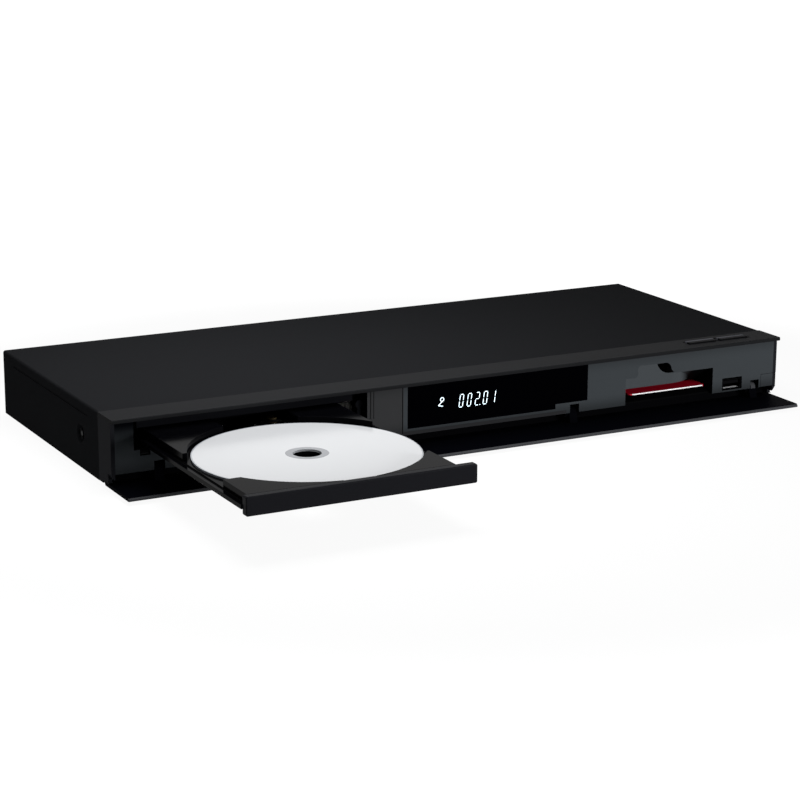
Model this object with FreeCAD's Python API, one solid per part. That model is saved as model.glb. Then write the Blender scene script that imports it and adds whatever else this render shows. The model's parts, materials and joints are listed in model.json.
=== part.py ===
import FreeCAD, Part
import math
import os

from FreeCAD import Vector

# Disc recorder, front flap open and disc tray out, in millimetres.
# While it is drawn, X is 0 at the middle, Y is 0 at the front edge of the top lip and grows
# to the back, Z is 0 at the table. save() moves it to the middle of the whole footprint.

# Cabinet
body_width = 430.0
body_depth = 179.0
body_height = 41.0
foot_height = 3.0
foot_radius = 11.0
sheet = 0.8
slip = 0.2
half = body_width / 2
deck_z = foot_height + sheet
rear_face = body_depth - sheet - slip

# Front fascia
fascia_depth = 21.5
lip_overhang = 3.0
lip_thick = 2.1
face_wall = 2.2
face_bottom = 10.5
lip_under = body_height - lip_thick
face_back = lip_overhang + face_wall
cover_front = fascia_depth + slip

# Cover, pan and rear sheet
dimple_y = 49.0
dimple_z = 22.3
rear_screw_places = (-190.0, 0.0, 190.0)
foot_places = [(x, y) for x in (-172.0, 172.0) for y in (40.0, 158.0)]
vent_groups = (20.0, 178.0)
vent_count = 6
vent_pitch = 9.0
vent_width = 3.0
vent_length = 20.0
rear_vent_count = 8
grille_radius = 13.5
grille_rows = 5
screw_core = 1.3
hdmi_x = 68.0
lan_x = 92.0
optical_x = 112.0
inlet_x = 186.0
inlet_z = 19.0

# Flap, drawn open; it closes flush with the lip
flap_thick = 2.0
flap_ground = 2.2
flap_reach = 20.6
flap_gap = 0.4
flap_lower = 3.0
flap_bevel = 1.0
pin_radius = 1.25
pin_play = 0.05
arm_width = 5.2
arm_places = (-187.6, 71.5, 199.4)
notch_top = 15.5
flap_top = flap_ground + flap_thick
pin_z = (lip_under - flap_gap - flap_reach + flap_ground) / 2
pin_y = pin_z - flap_ground
flap_tail = pin_y + pin_z - flap_lower
ear_width = 2.0
arm_play = 0.5

# Tray and disc
disc_radius = 60.0
disc_hole = 7.5
disc_thick = 1.2
disc_x = -134.0
disc_base = 29.1
pocket_radius = disc_radius + 1.8
inner_pocket_radius = 41.0
inner_pocket_drop = 0.8
tray_left = -195.5
tray_right = -80.5
tray_top = 33.2
tray_low = 26.0
tray_under = 27.2
tray_length = 167.4
tray_out = -133.5
tray_travel = 137.1
tray_to_hub = 66.1
fascia_left = -197.7
fascia_right = -70.3
tray_fascia_low = 23.2
tray_fascia_thick = 4.6
tray_back = tray_out + tray_length
hub_out_y = tray_out + tray_to_hub
hub_y = hub_out_y + tray_travel
rail_low = tray_low
rail_top = 28.3

# Rack and gears
rack_module = 0.8
rack_line = -75.4
tray_pinion_teeth = 16
wheel_module = 0.6
wheel_teeth = 26
belt_pinion_teeth = 14
backlash = 0.12
gear_y = 26.0
gear_x = rack_line + rack_module * tray_pinion_teeth / 2
belt_wheel_y = gear_y + wheel_module * (wheel_teeth + belt_pinion_teeth) / 2
belt_wheel_radius = 7.5
motor_pulley_radius = 2.2
motor_x = -106.0
belt_z = 19.2
belt_square = 1.1
wheel_z = 22.3
post_radius = 1.45
gear_play = 0.06

# Openings of the face
mouth_left = -202.0
mouth_right = -63.3
mouth_low = 22.6
mouth_dip_left = -191.0
mouth_dip_right = -74.0
mouth_dip = 20.9
window_left = -38.4
window_right = 80.2
window_low = 14.0
window_step_x = 58.5
window_step_z = 16.9
card_slot_left = 106.5
card_slot_right = 168.5
card_slot_top = 26.5
thumb_top = 33.3
thumb_left = 111.0
thumb_right = 142.0
card_width = 54.0
card_length = 85.6
card_thick = 0.76
card_z = 15.5
card_front = 4.7
usb_x = 182.8
usb_z = 15.1
usb_width = 13.1
usb_height = 5.7
corner_left = 203.8
corner_top = 18.5
button_width = 20.0
button_depth = 5.8
button_rise = 0.6
button_travel = 0.5
button_y = 12.4
button_places = (165.4, 187.8)
switch_z = 32.2
display_board_y = 11.6
card_middle = (card_slot_left + card_slot_right) / 2
reader_back = card_front + card_length + 2.5
scoop_hole_x = 138.8
scoop_hole_z = 35.6
scoop_hole_radius = 9.4
guide_bend_x = 140.0
guide_end_x = 157.0
guide_depth = 7.0

# Disc mechanism, drawn raised and then lowered about its rear pivots
traverse_drop = 3.65
pivot_y = 152.0
pivot_z = 12.0
plate_z = 14.5
plate_thick = 1.5
turntable_radius = 14.5
turntable_gap = 0.2
cone_height = 2.3
spindle_radius = 1.5
rod_radius = 1.5
rod_z = 19.0
rod_left = -157.0
rod_right = -111.0
sled_y = 104.0
sled_half = 10.0
sled_inner = 91.7
sled_outer = 128.2
screw_x = -103.0
clamper_gap = 0.3
clamper_radius = 12.0
plate_top = plate_z + plate_thick
block_offset = 6.2
plate_left = rod_left - 10.0
plate_right = rod_right + 9.5
pivot_radius = 1.8

# Base of the disc drive
loader_left = -202.0
loader_right = -57.0
loader_front = 13.0
loader_back = 173.0
loader_floor = 6.4
bridge_z = 34.5
loader_feet = [(x, y) for x in (-196.0, -63.0) for y in (29.0, 166.0)]

# Inner modules
board_thick = 1.6
board_z = 9.0
boss_places = ((-8, 138), (57, 172), (134, 172), (134, 102), (152, 102), (205, 102), (152, 171), (205, 171))
usb_boss_places = ((176.0, 26.0), (190.0, 26.0))
cable_left = 56.0
drive_x = 23.5
drive_length = 147.0
drive_width = 101.6
drive_height = 26.1
drive_front = 27.0
drive_z = 7.0
fan_x = -34.0
fan_size = 30.0
fan_thick = 10.0
fan_z = 20.5
terminal_radius = 4.76
terminal_length = 9.0
terminal_places = ((24.0, 14.5), (42.0, 14.5), (24.0, 27.0), (42.0, 27.0))

rear_tip = rear_face + terminal_length
origin_y = (tray_out + rear_tip) / 2
solid_count = 0


def save(name, shape):
    """Moves a piece to the part's own origin and writes it."""
    global solid_count
    piece = shape.removeSplitter() if len(shape.Solids) == 1 else shape
    piece.translate(Vector(0, -origin_y, 0))
    piece.exportStep("parts/" + name + ".step")
    solid_count += len(piece.Solids)
    print(f"{name}: {len(piece.Solids)} solids, valid {piece.isValid()}, {piece.Volume / 1000:.2f} cm3")


def box(x0, x1, y0, y1, z0, z1):
    return Part.makeBox(x1 - x0, y1 - y0, z1 - z0, Vector(x0, y0, z0))


def rod(x, y, z, radius, length, axis="z"):
    direction = {"x": Vector(1, 0, 0), "y": Vector(0, 1, 0), "z": Vector(0, 0, 1)}[axis]
    return Part.makeCylinder(radius, length, Vector(x, y, z), direction)


def cone(x, y, z, radius_a, radius_b, length, axis="z"):
    direction = {"x": Vector(1, 0, 0), "y": Vector(0, 1, 0), "z": Vector(0, 0, 1), "-x": Vector(-1, 0, 0)}[axis]
    return Part.makeCone(radius_a, radius_b, length, Vector(x, y, z), direction)


def side_plate(points, x0, x1):
    """A closed outline of (y, z) points, from x0 to x1."""
    wire = Part.makePolygon([Vector(x0, y, z) for y, z in points + points[:1]])
    return Part.Face(wire).extrude(Vector(x1 - x0, 0, 0))


def front_plate(points, y0, y1):
    """A closed outline of (x, z) points, from y0 to y1."""
    wire = Part.makePolygon([Vector(x, y0, z) for x, z in points + points[:1]])
    return Part.Face(wire).extrude(Vector(0, y1 - y0, 0))


def flat_plate(points, z0, z1):
    """A closed outline of (x, y) points, from z0 to z1."""
    wire = Part.makePolygon([Vector(x, y, z0) for x, y in points + points[:1]])
    return Part.Face(wire).extrude(Vector(0, 0, z1 - z0))


def rounded(x0, x1, y0, y1, z0, z1, radius, axis="z"):
    """A box whose edges along one axis are rounded."""
    solid = box(x0, x1, y0, y1, z0, z1)
    place = "xyz".index(axis)
    edges = [e for e in solid.Edges if abs(e.tangentAt(e.FirstParameter)[place]) > 0.9]
    return solid.makeFillet(radius, edges)


def bead(x, y, length, width, z0, z1):
    """A round-ended raised strip on a level sheet, along Y."""
    run = (length - width) / 2
    ends = [rod(x, y + side * run, z0, width / 2, z1 - z0) for side in (-1, 1)]
    return box(x - width / 2, x + width / 2, y - run, y + run, z0, z1).fuse(ends)


def six_sided(x, y, z0, z1, radius):
    """An upright hexagonal post."""
    corners = [(x + radius * math.cos(math.radians(60 * i)), y + radius * math.sin(math.radians(60 * i))) for i in range(6)]
    return flat_plate(corners, z0, z1)


def gear(teeth, module, phase, x, y, z0, z1, bore):
    """A spur gear with involute flanks; one tooth points at the angle phase."""
    pitch = module * teeth / 2
    base = pitch * math.cos(math.radians(20))
    tip = pitch + 0.85 * module
    root = pitch - 1.15 * module
    involute = lambda angle: math.tan(angle) - angle
    half_tooth = (math.pi * module / 2 - backlash) / 2 / pitch + involute(math.radians(20))
    flank_start = max(base, root)
    points = []
    for tooth in range(teeth):
        middle = phase + 2 * math.pi * tooth / teeth
        radii = [flank_start + (tip - flank_start) * step / 2 for step in range(3)]
        spread = [half_tooth - involute(math.acos(min(1.0, base / r))) for r in radii]
        left = [(root, -spread[0])] + [(r, -s) for r, s in zip(radii, spread)]
        for r, turn in left + [(r, -s) for r, s in reversed(left)]:
            points.append((x + r * math.cos(middle + turn), y + r * math.sin(middle + turn)))
    return flat_plate(points, z0, z1).cut(rod(x, y, z0 - 1, bore, z1 - z0 + 2))


def top_cover():
    """A folded steel cover with sides, a rear flange, creases and screw dimples."""
    bend = 1.4
    outer = box(-half, half, cover_front, body_depth, foot_height, body_height)
    top_edges = [
        e for e in outer.Edges
        if abs(e.tangentAt(e.FirstParameter).y) > 0.9 and e.CenterOfMass.z > body_height - 1
    ]
    outer = outer.makeFillet(bend, top_edges)
    inner = box(-half + sheet, half - sheet, cover_front - 1, body_depth - sheet, foot_height - 1, body_height - sheet)
    flange_low = body_height - 8
    below = box(-half + sheet, half - sheet, body_depth - sheet - 0.1, body_depth + 1, foot_height - 1, flange_low)
    cover = outer.cut([inner, below])
    cuts = []
    cups = []
    for side, axis in ((-1, "x"), (1, "-x")):
        face = side * half
        cups.append(cone(face, dimple_y, dimple_z, 6.4, 4.4, 2.2, axis))
        cuts.append(cone(face, dimple_y, dimple_z, 5.6, 3.6, 1.4, axis))
        cuts.append(rod(face - 5, dimple_y, dimple_z, 1.7, 10, "x"))
        groove = 0.35
        start = face if side < 0 else face - groove
        cuts.append(box(start, start + groove, 38, 160, 34.6, 35.5))
    for x in rear_screw_places:
        cuts.append(rod(x, body_depth - 3, body_height - 4.5, 1.7, 6, "y"))
    return cover.fuse(cups).cut(cuts)


def bottom_pan():
    """A pressed steel pan with side flanges, stiffening beads, vents and board bosses."""
    edge = half - sheet - slip
    front = cover_front + 0.3
    pan = box(-edge, edge, front, rear_face, foot_height, deck_z)
    walls = [
        box(-edge, -edge + sheet, front, rear_face - sheet, foot_height, 12),
        box(edge - sheet, edge, front, rear_face - sheet, foot_height, 12),
        box(-edge + sheet, edge - sheet, front, front + sheet, foot_height, 6.2),
    ]
    for side in (-1, 1):
        tab = side * (half - 3.6)
        walls.append(box(tab - sheet / 2, tab + sheet / 2, dimple_y - 6, dimple_y + 6, deck_z, dimple_z + 6))
    for x, y in boss_places:
        walls.append(six_sided(x, y, deck_z, board_z, 3.4))
    for x, y in usb_boss_places:
        walls.append(six_sided(x, y, deck_z, usb_z - usb_height / 2 - 0.15 - board_thick, 2.6))
    for x in (-80.0, 120.0):
        walls.append(bead(x, 60, 62, 5, foot_height, deck_z + 0.6))
    pan = pan.fuse(walls)
    cuts = []
    for group_x in vent_groups:
        for step in range(vent_count):
            x = group_x + vent_pitch * (step - (vent_count - 1) / 2)
            cuts.append(box(x - vent_width / 2, x + vent_width / 2, 148 - vent_length / 2, 148 + vent_length / 2,
                            foot_height - 1, deck_z + 1))
    for side in (-1, 1):
        cuts.append(rod(side * half - 6, dimple_y, dimple_z, screw_core, 12, "x"))
    return pan.cut(cuts)


def rear_panel():
    """The rear sheet with its socket cut-outs and the slots in front of the fan."""
    edge = half - sheet - slip
    top = body_height - sheet - slip
    panel = box(-edge, edge, rear_face - sheet, rear_face, deck_z, top)
    y = rear_face - 5
    cuts = [rod(x, y, z, 6.2, 10, "y") for x, z in terminal_places]
    cuts.append(box(hdmi_x - 7.8, hdmi_x + 7.8, y, y + 10, 10.8, 17.4))
    cuts.append(box(lan_x - 8.2, lan_x + 8.2, y, y + 10, 10.4, 24.4))
    cuts.append(box(optical_x - 5.2, optical_x + 5.2, y, y + 10, 10.4, 20.8))
    cuts.append(box(inlet_x - 13.7, inlet_x + 13.7, y, y + 10, inlet_z - 8.2, inlet_z + 8.2))
    cuts += [rod(x, y, body_height - 4.5, screw_core, 10, "y") for x in rear_screw_places]
    row_pitch = 2 * grille_radius / (grille_rows - 0.5)
    for row in range(grille_rows):
        off = row_pitch * (row - (grille_rows - 1) / 2)
        run = math.sqrt(grille_radius ** 2 - off ** 2)
        cuts.append(box(fan_x - run, fan_x + run, y, y + 10, fan_z + off - vent_width / 2, fan_z + off + vent_width / 2))
    for step in range(rear_vent_count):
        x = -182 + 1.5 * vent_pitch * step
        cuts.append(box(x - vent_width / 2, x + vent_width / 2, y, y + 10, 12, 12 + vent_length))
    return panel.cut(cuts)


def thumb_outline():
    """The card slot in the face: open at the bottom, with a thumb scoop at its top."""
    left, right, low, top = card_slot_left, card_slot_right, face_bottom - 0.1, card_slot_top
    start, end = thumb_left, thumb_right
    rise = thumb_top - top

    def swing(x0, z0, x1, z1):
        middle = ((x0 + x1) / 2, (z0 + z1) / 2)
        bow = (x1 - x0) * 0.16
        first = Part.Arc(Vector(x0, 0, z0), Vector((x0 + middle[0]) / 2 + bow * (1 if z1 > z0 else -0.2),
                         0, (z0 + middle[1]) / 2 - bow * (1 if z1 > z0 else -1)), Vector(middle[0], 0, middle[1]))
        second = Part.Arc(Vector(middle[0], 0, middle[1]), Vector((x1 + middle[0]) / 2 - bow * (1 if z1 > z0 else -0.2),
                          0, (z1 + middle[1]) / 2 + bow * (1 if z1 > z0 else -1)), Vector(x1, 0, z1))
        return [first.toShape(), second.toShape()]

    line = lambda a, b, c, d: Part.LineSegment(Vector(a, 0, b), Vector(c, 0, d)).toShape()
    edges = [line(left, low, left, top), line(left, top, start, top)]
    edges += swing(start, top, start + 8, top + rise)
    edges.append(line(start + 8, top + rise, end - 7, top + rise))
    edges += swing(end - 7, top + rise, end, top)
    edges += [line(end, top, right, top), line(right, top, right, low), line(right, low, left, low)]
    return Part.Face(Part.Wire(edges))


def front_fascia():
    """The moulded front: lip, face wall, side walls, hinge recess and every opening."""
    lip = box(-half, half, 0, fascia_depth, lip_under, body_height)
    front_edges = [e for e in lip.Edges if abs(e.tangentAt(e.FirstParameter).x) > 0.9 and e.CenterOfMass.y < 1]
    lip = lip.makeFillet(0.5, front_edges)
    face = box(-half + face_wall, half - face_wall, lip_overhang, face_back, face_bottom, lip_under)
    swing = pin_z - flap_top - flap_gap
    clear_z = flap_top + flap_gap
    reach = math.sqrt(swing ** 2 - (pin_y - lip_overhang) ** 2)
    turn = math.radians(225)
    nose = [(lip_overhang, lip_under), (lip_overhang, pin_z - reach),
            (pin_y + swing * math.cos(turn + 0.25), pin_z + swing * math.sin(turn + 0.25)),
            (pin_y, clear_z), (flap_tail + 0.7, clear_z), (flap_tail + 0.7, foot_height + slip),
            (fascia_depth, foot_height + slip), (fascia_depth, lip_under)]
    sides = [side_plate(nose, -half, -half + face_wall), side_plate(nose, half - face_wall, half)]
    inside = half - face_wall
    wall = 1.5
    back = 12.6
    recess = [
        box(-inside, inside, lip_overhang, back, face_bottom, face_bottom + wall),
        box(-inside, inside, back - wall, back, clear_z, face_bottom + wall),
        box(-inside, inside, back - wall, fascia_depth, clear_z, clear_z + wall),
    ]
    jamb = 1.5
    jambs = [
        box(mouth_left - jamb, mouth_left, face_back, back, mouth_low - jamb, lip_under),
        box(mouth_right, mouth_right + jamb, face_back, back, mouth_low - jamb, lip_under),
        box(mouth_left, mouth_right, face_back, back, mouth_low - jamb, mouth_low),
        box(mouth_dip_left - jamb, mouth_dip_right + jamb, face_back, back, mouth_dip - jamb, mouth_low),
    ]
    ears = []
    for x in arm_places:
        for ear_x in (x - arm_width / 2 - arm_play - ear_width, x + arm_width / 2 + arm_play):
            ears.append(rod(ear_x, pin_y, pin_z, 3.0, ear_width, "x"))
            ears.append(box(ear_x, ear_x + ear_width, pin_y - 3, pin_y + 3, pin_z, face_bottom + wall))
    posts = [rod(x, face_back, z, 2.2, display_board_y - face_back, "y")
             for x in (window_left - 4.0, window_right + 4.2) for z in (17.0, 34.0)]
    tongues = [box(x - 8, x + 8, fascia_depth, fascia_depth + 4, lip_under, body_height - sheet - slip)
               for x in (-150.0, -50.0, 50.0, 150.0)]
    shell = lip.fuse([face] + sides + recess + jambs + ears + posts + tongues)
    cuts = [
        box(mouth_left, mouth_right, 1, face_back + 0.1, mouth_low, lip_under),
        box(mouth_dip_left, mouth_dip_right, 1, back + 0.1, mouth_dip, mouth_low + 0.1),
        box(mouth_right - 0.1, mouth_right + 2.1, 1, lip_overhang + 0.8, mouth_low, lip_under),
        box(mouth_right + 2.0, mouth_right + 3.8, 1, lip_overhang + 0.35, mouth_low, lip_under),
        box(-198.6, -192.7, 1, face_back + 0.1, 19.2, mouth_low + 0.1),
        box(window_left - 3.4, window_left - 2.9, 1, lip_overhang + 0.3, face_bottom, lip_under),
        box(window_left, window_right, 1, face_back + 0.1, window_step_z, lip_under),
        box(window_left, window_step_x, 1, face_back + 0.1, window_low, window_step_z + 0.1),
        box(usb_x - 7.2, usb_x + 7.2, 1, face_back + 0.1, usb_z - 3.7, usb_z + 3.8),
        box(corner_left, half + 1, 1, 9.0, face_bottom - 0.1, corner_top),
        box(card_slot_left, card_slot_right, 1, face_back, face_bottom - 0.1, face_bottom + wall + 0.1),
        box(card_slot_left - 1.7, card_slot_right + 1.7, face_back, back + 0.1, face_bottom - 0.1, face_bottom + wall + 0.1),
    ]
    slot = thumb_outline()
    slot.translate(Vector(0, 1, 0))
    cuts.append(slot.extrude(Vector(0, face_back - 0.9, 0)))
    for x in arm_places:
        left, right = x - arm_width / 2 - arm_play, x + arm_width / 2 + arm_play
        cuts.append(box(left, right, 1, back - wall, face_bottom - 0.1, notch_top))
        cuts.append(rod(left - ear_width - 1, pin_y, pin_z, pin_radius + pin_play, arm_width + 2 * ear_width + 3, "x"))
    for x in button_places:
        cuts.append(box(x - button_width / 2, x + button_width / 2, button_y - button_depth / 2,
                        button_y + button_depth / 2, lip_under - 1, body_height + 1))
    low, high = button_places[0] - button_width / 2 - 0.8, button_places[1] + button_width / 2 + 0.8
    cuts.append(box(low, high, button_y - button_depth / 2 - 1.4, button_y + button_depth / 2 + 0.6,
                    body_height - 0.35, body_height + 1))
    corner = 3.6
    for side in (-1, 1):
        points = [(side * half, 5), (side * half, face_bottom - 0.3), (side * (half - corner), 5)]
        cuts.append(front_plate(points, 0, pin_y))
    return shell.cut(cuts)


def front_flap():
    """The flap, open: a full-width plate with bevelled edge and three hinge arms."""
    front, tail = -flap_reach, flap_tail
    outline = [(front, flap_ground), (front, flap_top - flap_bevel), (front + flap_bevel, flap_top),
               (tail - 0.3, flap_top), (tail, flap_top - 0.3), (tail - 1.5, flap_ground)]
    edge = half - 0.3
    plate = side_plate(outline, -edge, edge)
    pieces = []
    for x in arm_places:
        arm = side_plate([(pin_y - 4.8, flap_top - 0.5), (pin_y - 3.2, pin_z), (pin_y + 3.2, pin_z),
                          (pin_y + 2.6, flap_top - 0.5)], x - arm_width / 2, x + arm_width / 2)
        pieces += [arm, rod(x - arm_width / 2, pin_y, pin_z, 3.2, arm_width, "x")]
    pieces.append(rounded(-191.9, -188.0, -19.4, -11.6, flap_top - 0.5, flap_top + 0.7, 0.9))
    cuts = [rod(x - arm_width / 2 - 1, pin_y, pin_z, pin_radius + pin_play, arm_width + 2, "x") for x in arm_places]
    return plate.fuse(pieces).cut(cuts)


def flap_pins():
    length = arm_width + 2 * (ear_width + arm_play) - 0.2
    return Part.makeCompound([rod(x - length / 2, pin_y, pin_z, pin_radius, length, "x") for x in arm_places])


def display_window():
    """The dark window: a stepped plate flush with the face, with a flange behind the wall."""
    gap = 0.12
    points = [(window_left + gap, window_low + gap), (window_step_x - gap, window_low + gap),
              (window_step_x - gap, window_step_z + gap), (window_right - gap, window_step_z + gap),
              (window_right - gap, lip_under - gap), (window_left + gap, lip_under - gap)]
    grow = 1.4
    flange = [(window_left - grow, window_low - grow), (window_step_x + grow, window_low - grow),
              (window_step_x + grow, window_step_z - grow), (window_right + grow, window_step_z - grow),
              (window_right + grow, lip_under - gap), (window_left - grow, lip_under - gap)]
    return front_plate(points, lip_overhang + 0.05, face_back).fuse(front_plate(flange, face_back, face_back + 0.8))


def display_module():
    glass = box(-30, 62, 7.4, 9.2, 17, 36)
    holder = box(-32, 64, 9.2, display_board_y, 16, 37)
    return glass.fuse(holder)


def front_board():
    """The display board behind the window, with its connector."""
    board = box(window_left - 7, window_right + 6, display_board_y, display_board_y + board_thick, 13.4, lip_under - 0.4)
    socket = box(cable_left - 2, cable_left + 18, display_board_y + board_thick, display_board_y + 5, 14.5, 20)
    return board.fuse(socket)


def switch_board():
    """A level board under the top buttons, hung from the lip on two legs."""
    board = box(150, 203, 6.5, 20, switch_z, switch_z + board_thick)
    legs = [box(x - 1.5, x + 1.5, 17, 20, switch_z + board_thick, lip_under) for x in (153.0, 200.0)]
    return board.fuse(legs)


def click_switches():
    pieces = []
    top = switch_z + board_thick
    for x in button_places:
        body = box(x - 3, x + 3, button_y - 3, button_y + 3, top, top + 3)
        pieces.append(body.fuse(rod(x, button_y, top + 3, 1.75, 0.6)))
    return Part.makeCompound(pieces)


def top_button(x):
    """A flat key through the lip, with a wider skirt below and a stem to its switch."""
    clear = 0.15
    top = body_height + button_rise
    key = rounded(x - button_width / 2 + clear, x + button_width / 2 - clear, button_y - button_depth / 2 + clear,
                  button_y + button_depth / 2 - clear, lip_under - 0.3, top, 0.5)
    skirt = box(x - button_width / 2 - 0.7, x + button_width / 2 + 0.7, button_y - button_depth / 2 - 0.7,
                button_y + button_depth / 2 + 0.7, lip_under - 0.9, lip_under - 0.25)
    return key.fuse([skirt])


def flap_latch():
    """The push latch behind the notch beside the tray opening."""
    body = box(-198.3, -192.8, face_back + 0.1, 11.0, 16.5, mouth_low - 1.6)
    nose = side_plate([(face_back + 0.2, 19.4), (4.0, 19.7), (4.0, 20.3), (face_back + 0.2, 20.9)], -197.6, -193.3)
    return body.fuse(nose)


def corner_cover():
    """A small square cover that wraps the lower right corner of the face."""
    gap = 0.15
    left, top, low = corner_left + gap, corner_top - gap, face_bottom
    face = box(left, half, lip_overhang, face_back, low, top)
    side = box(half - face_wall, half, lip_overhang, 9.0 - gap, low, top)
    return face.fuse(side)


def card_guide():
    """The plate behind the face above the card: it bends back at the right and has a round hole."""
    thick = 1.0
    front, low, top = face_back + 0.05, card_z + card_thick + 1.2, thumb_top + 1.5
    reach = guide_end_x - guide_bend_x
    bend = (reach ** 2 + guide_depth ** 2) / (2 * guide_depth)
    half_turn = math.asin(reach / bend) / 2
    bent = []
    for radius in (bend, bend - thick):
        place = [(guide_bend_x + radius * math.sin(k * half_turn), front + bend - radius * math.cos(k * half_turn))
                 for k in (0, 1, 2)]
        bent.append([Vector(x, y, low) for x, y in place])
    outer, inner = bent
    left = card_slot_left - 1.5
    edges = [
        Part.LineSegment(Vector(left, front, low), outer[0]).toShape(),
        Part.Arc(*outer).toShape(),
        Part.LineSegment(outer[2], inner[2]).toShape(),
        Part.Arc(*inner).toShape(),
        Part.LineSegment(inner[0], Vector(left, front + thick, low)).toShape(),
        Part.LineSegment(Vector(left, front + thick, low), Vector(left, front, low)).toShape(),
    ]
    plate = Part.Face(Part.Wire(Part.__sortEdges__(edges))).extrude(Vector(0, 0, top - low))
    hole = rod(scoop_hole_x, front - 1, scoop_hole_z, scoop_hole_radius, thick + 3, "y")
    above = box(thumb_right + 1.5, guide_end_x + 2, front - 1, front + guide_depth + 3, card_slot_top + 1.5, top + 1)
    return plate.cut([hole, above])


def card_reader():
    """A funnel behind the card slot, a pocket behind its scoop, the guide plate and the flat reader."""
    mouth_y = face_back + 0.05
    throat_y = 17.0
    gap = 0.35
    left, right = card_middle - card_width / 2 - 0.6, card_middle + card_width / 2 + 0.6
    low, high = card_z - gap, card_z + card_thick + gap

    def opening(x0, x1, y, z0, z1):
        corners = [(x0, z0), (x1, z0), (x1, z1), (x0, z1), (x0, z0)]
        return Part.makePolygon([Vector(x, y, z) for x, z in corners])

    funnel = Part.makeLoft([opening(card_slot_left, card_slot_right, mouth_y, face_bottom + 1.0, card_slot_top),
                            opening(left, right, throat_y, low, high)], True)
    block = box(card_slot_left - 1.5, card_slot_right + 1.5, mouth_y, throat_y, face_bottom + 0.1, card_slot_top + 1.5)
    hood = box(thumb_left - 1.5, thumb_right + 1.5, mouth_y, throat_y, card_slot_top, thumb_top + 1.5)
    pocket = box(thumb_left, thumb_right, mouth_y - 0.1, throat_y - 1.5, card_slot_top - 3.0, thumb_top)
    reader = box(card_middle - 29.5, card_middle + 29.5, throat_y, reader_back, card_z - 2.6, card_z + 4)
    slit = box(left, right, throat_y - 0.1, card_front + card_length + 0.6, low, high)
    legs = [six_sided(card_middle + x, y, deck_z, card_z - 2.6, 2.8) for x in (-24, 24) for y in (30, 84)]
    window = box(card_middle - 18, card_middle + 18, 40, 76, card_z + 1.8, card_z + 5)
    return block.fuse(hood).cut([funnel, pocket]).fuse([reader, card_guide()] + legs).cut([slit, window])


def access_card():
    x, y = card_middle, card_front
    return rounded(x - card_width / 2, x + card_width / 2, y, y + card_length, card_z, card_z + card_thick, 3.18)


def usb_socket():
    """A shell with a square mouth and a contact tongue."""
    x0, x1 = usb_x - usb_width / 2, usb_x + usb_width / 2
    z0, z1 = usb_z - usb_height / 2, usb_z + usb_height / 2
    front, back = lip_overhang + 0.5, 18.0
    wall = 0.35
    shell = rounded(x0, x1, front, back, z0, z1, 0.5, "y")
    hollow = box(x0 + wall, x1 - wall, front - 1, back - 2, z0 + wall, z1 - wall)
    tongue = box(usb_x - 5.6, usb_x + 5.6, front + 1.2, back - 2, usb_z - 0.2, usb_z + 1.7)
    return shell.cut(hollow).fuse(tongue)


def usb_board():
    top = usb_z - usb_height / 2 - 0.15
    return box(172, 196, 12.8, 32, top - board_thick, top)


def feet():
    """Four round feet, a little narrower at the ground, stuck under the pan."""
    pieces = []
    for x, y in foot_places:
        pieces.append(cone(x, y, 0, foot_radius - 0.8, foot_radius, foot_height))
    return Part.makeCompound(pieces)


def main_board():
    """An L-shaped board beside and behind the hard drive."""
    points = [(-14, 131.5), (101, 131.5), (101, 96), (140, 96), (140, rear_face - sheet - 0.6), (-14, rear_face - sheet - 0.6)]
    return flat_plate(points, board_z, board_z + board_thick)


def power_board():
    return box(146, 211, 96, rear_face - sheet - 0.6, board_z, board_z + board_thick)


def board_parts():
    """Chips, cans, sockets and capacitors of the main board."""
    top = board_z + board_thick
    chips = [(10, 142, 12, 9, 1.2), (30, 142, 12, 9, 1.2), (84, 142, 10, 14, 1.0), (116, 109, 12, 12, 1.4),
             (126, 122, 8, 8, 1.0), (112, 124, 8, 6, 1.0)]
    pieces = [box(x - a / 2, x + a / 2, y - b / 2, y + b / 2, top, top + c) for x, y, a, b, c in chips]
    for x, y in ((0, 150), (0, 160), (132, 150)):
        pieces.append(rod(x, y, top, 3.0, 8))
    pieces.append(box(104, 136, 134, 139, top, top + 5))
    return Part.makeCompound(pieces)


def heat_sink():
    """A finned block on the main chip."""
    top = board_z + board_thick
    chip = box(50, 68, 139, 153, top, top + 1.6)
    base = box(44, 74, 135.5, 157.5, top + 1.6, top + 4.2)
    fins = [box(44 + 2.9 * i, 45.1 + 2.9 * i, 135.5, 157.5, top + 4.2, top + 14) for i in range(11)]
    return base.fuse([chip] + fins)


def tuner_box():
    """The screened tuner with the four antenna terminals on its rear wall."""
    top = board_z + board_thick
    can = rounded(14, 52, 158.5, rear_face - sheet - 0.15, top, 37, 0.8, "y")
    return can.fuse([box(13.4, 52.6, 158.0, 158.5, top, 37.6)])


def antenna_terminals():
    """Four terminals, each a hexagon and a barrel."""
    pieces = []
    start = rear_face - sheet - 0.15
    for x, z in terminal_places:
        corners = [(x + 6.0 * math.cos(math.radians(60 * i)), z + 6.0 * math.sin(math.radians(60 * i))) for i in range(6)]
        base = front_plate(corners, start, rear_face + 1.0)
        barrel = rod(x, start, z, terminal_radius, rear_tip - start, "y")
        pieces.append(base.fuse(barrel))
    return Part.makeCompound(pieces)


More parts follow.
